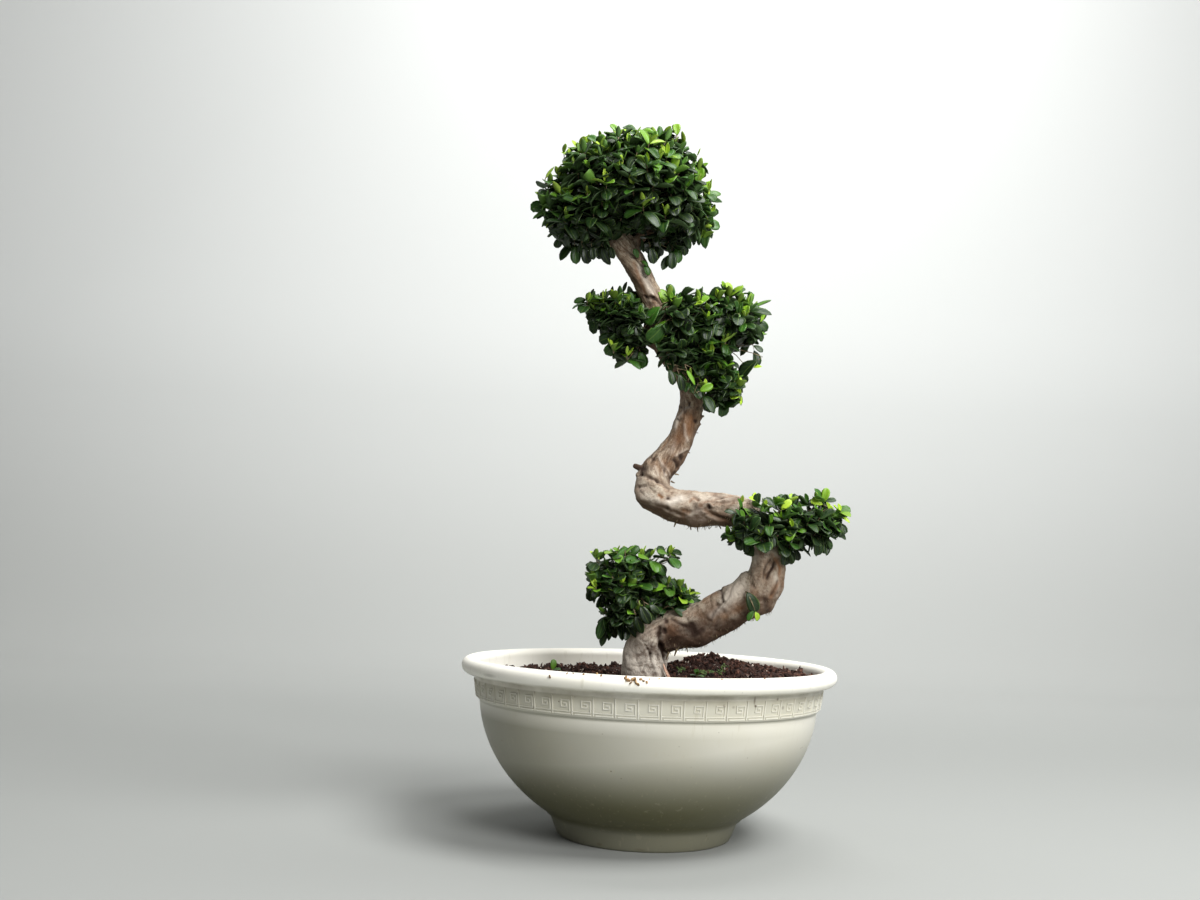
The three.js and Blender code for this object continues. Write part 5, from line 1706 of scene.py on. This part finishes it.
def make_sticks(draw, material):
    """Thin sticks that lie on the soil or stick out of it a little."""
    sticks = []
    for _ in range(STICKS):
        around, out = draw.uniform(0, 2 * math.pi), (SOIL_RADIUS - 2) * math.sqrt(draw.random())
        x, y = out * math.cos(around), out * math.sin(around)
        length, heading = draw.uniform(5, 20), draw.uniform(0, 2 * math.pi)
        lift = draw.choice((0.0, 0.05, 0.1, 0.2, 0.35))
        rows = []
        for share in (0, 0.35, 0.7, 1):
            sx = x + share * length * math.cos(heading) * (1 - lift * 0.6) + draw.uniform(-0.6, 0.6)
            sy = y + share * length * math.sin(heading) * (1 - lift * 0.6) + draw.uniform(-0.6, 0.6)
            if math.hypot(sx, sy) > SOIL_RADIUS:
                break
            rows.append([sx, sy, soil_surface(sx, sy) + 0.4 + lift * share * length, draw.uniform(0.5, 1.3)])
        if len(rows) > 2:
            sticks.append(smooth_path(rows, 2))
    wood = tubes_object("soil_sticks", sticks, 5)
    store(wood.data, "shade", "FLOAT", [1.3] * len(wood.data.vertices))
    finish_piece(wood, "soil", material=material)


# Crumbs on the front of the rim, as (degrees round the pot, degrees round the roll, size in mm)
RIM_CRUMBS = [
    (-120, 22, 7.6), (-115.3, 60, 4.0), (-113.5, 66, 2.6), (-110.4, 62, 4.4), (-106.8, 84, 5.2),
    (-105.3, 60, 4.6), (-98.6, 52, 6.4), (-97.8, 34, 8.6), (-97.1, 18, 7.4), (-96.4, 44, 8.2),
    (-95.7, 30, 9.0), (-95.1, 10, 6.4), (-94.4, 46, 5.6), (-93.7, 34, 6.4), (-92.8, 26, 4.8),
    (-92.2, 48, 3.8), (-89.5, 56, 2.8), (-72, 64, 3.0), (-58, 70, 3.4),
]


def make_litter(kit, materials):
    """Loose bark, grains, crumbs of moss and sticks on the soil, and crumbs on the rim."""
    sides = [(1, 0.7, 0.5), (1.2, 0.5, 0.35), (0.9, 0.8, 0.6), (1.3, 0.6, 0.25), (0.8, 0.7, 0.7)]
    chunks = [chunk_kind("bark_chunk_%d" % order, size, 0.25, order) for order, size in enumerate(sides)]
    group = loose_collection("bark_chunks", chunks)
    pieces = {
        "soil_bark_chunks": (litter_rows(CRUMBS, 5, SOIL_RADIUS, (2, 15, 3.5)), "bark"),
        "soil_perlite_grains": (litter_rows(GRAINS, 6, SOIL_RADIUS - 2, (1.5, 5.5, 2.5), 2.4), "perlite"),
        "soil_moss_crumbs": (litter_rows(MOSS_CRUMBS, 9, SOIL_RADIUS - 7, (1.5, 5, 2.5), 2.8, mossy), "moss"),
    }
    for name, (rows, finish) in pieces.items():
        made = leaves_object(name, rows, {**kit, "kinds": group, "material": materials[finish]})
        made.data.polygons.foreach_set("use_smooth", [False] * len(made.data.polygons))
        finish_piece(made, "soil")
    draw = random.Random(8)
    make_sticks(draw, materials["bark"])
    rows = []
    for around, over, size in RIM_CRUMBS:
        turn, roll = math.radians(around), math.radians(over)
        radius = RIM_RADIUS - ROLL_RADIUS + (ROLL_RADIUS + CRUMB_LIFT) * math.cos(roll)
        height = ROLL_HEIGHT + (ROLL_RADIUS + CRUMB_LIFT) * math.sin(roll)
        place = mm((radius * math.cos(turn), radius * math.sin(turn), height))
        turns = [draw.uniform(0, 6) for _ in range(3)]
        rows.append(loose_bit(place, turns, size, draw.uniform(0.7, 1.2), draw.randrange(5)))
    crumbs = leaves_object("rim_crumbs", rows, {**kit, "kinds": group, "material": materials["coir"]})
    finish_piece(crumbs, "soil")
    drop_collection(group)


# Dry strap leaf beside the trunk, as (x, y, z, half width) along it, in mm
REED = [(27, -47, 205, 1.4), (25, -45, 211, 2.6), (21, -43, 219, 2.4), (18, -41, 227, 0.7)]


def fix_normals(holder):
    """Merges a mesh's doubled points and turns its faces outwards."""
    mesh = bmesh.new()
    mesh.from_mesh(holder.data)
    bmesh.ops.remove_doubles(mesh, verts=mesh.verts, dist=0.01 * MM)
    bmesh.ops.recalc_face_normals(mesh, faces=mesh.faces)
    mesh.to_mesh(holder.data)
    mesh.free()


def make_reed(material):
    """A folded strap: a thin closed ribbon with a crease."""
    rows = smooth_path(REED, 5)
    points = []
    for row in rows:
        centre, half = Vector(row[:3]), row[3]
        across = Vector((0.8, 0.5, 0.15)).normalized()
        for side, drop in ((-1, 0), (0, 0.25), (1, 0), (0, 0.7)):
            points.append(centre + across * side * half - Vector((0.5, -0.85, 0)) * drop * MM)
    faces = ring_faces(len(rows), 4)
    faces += [(3, 2, 1, 0), tuple(len(points) - 4 + corner for corner in range(4))]
    reed = mesh_object("dry_strap_leaf", points, faces)
    fix_normals(reed)
    finish_piece(reed, "soil", material=material)


# How many rootlets hang under the limbs
ROOTLETS = 300
# Short spurs at the trunk's outline, as (start pixel, end pixel, depth along Y in mm, radius in mm)
SPURS = [
    ((698, 418), (704, 416), 14, 3.0), ((696, 425), (701, 424), 14, 2.6),
    ((695, 433), (698.5, 433), 14, 1.0), ((686, 452), (690, 453), 14, 1.6),
    ((675, 474), (679, 475), 8, 1.5), ((671, 481), (675, 483), 6, 1.3), ((697, 524), (698, 532), -24, 1.1),
    ((690, 524), (691, 530), -24, 1.4), ((676, 521), (674, 527), -16, 1.4),
    ((706, 524), (709, 529), -28, 0.7), ((709, 529), (712, 526), -28, 0.6),
    ((718, 524), (721, 529), -32, 1.4), ((677, 649), (674.5, 656), -40, 1.6),
    ((687, 647), (688, 653), -40, 0.7), ((714, 631), (717, 638), -52, 1.6),
    ((669, 652), (666, 660), -36, 1.6), ((652, 459), (648, 460), 10, 1.2),
    ((656, 454), (653, 454), 12, 1.0),
]


def make_rootlets(trunk, material):
    """Fine hairs on the undersides of the lower limbs, each a tapered tube a few mm long."""
    mesh = trunk.data
    draw = random.Random(17)
    below = [v for v in mesh.vertices if v.normal.z < -0.55 and 0.225 < v.co.z < 0.47 and v.co.x > 0.01]
    paths = []
    for vert in draw.sample(below, ROOTLETS):
        length = draw.uniform(1.5, 6)
        lean = Vector((draw.uniform(-0.7, 0.7), draw.uniform(-0.7, 0.7), -1)).normalized()
        curl = Vector((draw.uniform(-1, 1), draw.uniform(-1, 1), 0)) * 0.3 * length
        start = vert.co / MM + vert.normal * -0.5
        middle, end = start + lean * length * 0.5, start + lean * length + curl
        rows = [[*start, 0.42], [*middle, 0.3], [*end, 0.12]]
        paths.append(smooth_path(rows, 2))
    for start, end, depth, thick in SPURS:
        start, end = at_pixel(start, depth) / MM, at_pixel(end, depth) / MM
        middle = start.lerp(end, 0.5) + Vector([draw.uniform(-0.5, 0.5) for _ in range(3)])
        rows = [[*start, thick], [*middle, 0.8 * thick], [*end, 0.4 * thick]]
        paths.append(smooth_path(rows, 3))
    hairs = tubes_object("trunk_rootlets", paths, 4)
    finish_piece(hairs, "bark", material=material)


# Floor and light, in metres
def make_studio():
    """A pale floor that sweeps up into a pale backdrop."""
    front, depth, radius, height, width, steps = -4.0, 3.2, 1.0, 4.5, 7.0, 12
    line = [(front, 0.0), (depth - radius, 0.0)]
    for step in range(1, steps + 1):
        angle = math.radians(90 * step / steps)
        line.append((depth - radius + radius * math.sin(angle), radius - radius * math.cos(angle)))
    line.append((depth, height))
    points, faces = [], []
    for y, z in line:
        points += [(-width, y, z), (width, y, z)]
    for row in range(len(line) - 1):
        low = 2 * row
        faces.append((low, low + 1, low + 3, low + 2))
    sweep = mesh_object("studio_sweep", points, faces)
    sweep.data.materials.append(studio_paper())


# Lights as (name, place, aim, size, watts)
LIGHTS = [
    ("light_overhead", (1.3, -1.0, 2.9), (0, 0.05, 0.5), 1.5, 108),
    ("light_front", (1.2, -2.6, 1.9), (0, 0, 0.4), 1.4, 89),
    ("light_left_back", (-2.2, 1.2, 2.6), (0, 0, 0.6), 1.6, 8),
    ("light_backdrop", (0.5, 1.0, 4.3), (0.1, 3.2, 2.1), 2.4, 112),
]


def make_lights():
    for name, place, aim, size, watts in LIGHTS:
        data = bpy.data.lights.new(name, "AREA")
        data.shape = "DISK"
        data.size = size
        data.energy = watts
        lamp = bpy.data.objects.new(name, data)
        lamp.location = place
        lamp.rotation_euler = (Vector(aim) - Vector(place)).to_track_quat("-Z", "Y").to_euler()
        bpy.context.scene.collection.objects.link(lamp)
    world = bpy.data.worlds.new("studio")
    world.use_nodes = True
    glow = world.node_tree.nodes["Background"].inputs
    glow["Color"].default_value = colour("f4f4f2")
    glow["Strength"].default_value = 0.15
    bpy.context.scene.world = world
    bpy.context.scene.view_settings.view_transform = "Standard"


make_camera()
make_studio()
make_lights()
twig_wood = young_wood()
leaf_kinds = loose_collection("leaf_kinds", [leaf_kind(n, shape) for n, shape in enumerate(LEAF_KINDS)])
leaf_kit = {"tree": leaf_tree(), "kinds": leaf_kinds, "material": ficus_leaf()}
bark_material = potting_bark()
make_pot(moulded_polypropylene())
trunk, trunk_line = make_trunk(ficus_bark())
make_rootlets(trunk, twig_wood)
for head in HEADS:
    make_head(head, trunk_line["rows"], leaf_kit, twig_wood)
for node in SPRIGS:
    make_sprig(node, leaf_kit, twig_wood)
make_soil(bark_material)
make_litter(leaf_kit, {
    "bark": bark_material, "perlite": expanded_perlite(), "moss": cushion_moss(), "coir": dry_coir(),
})
make_reed(dry_reed())
drop_collection(leaf_kinds)
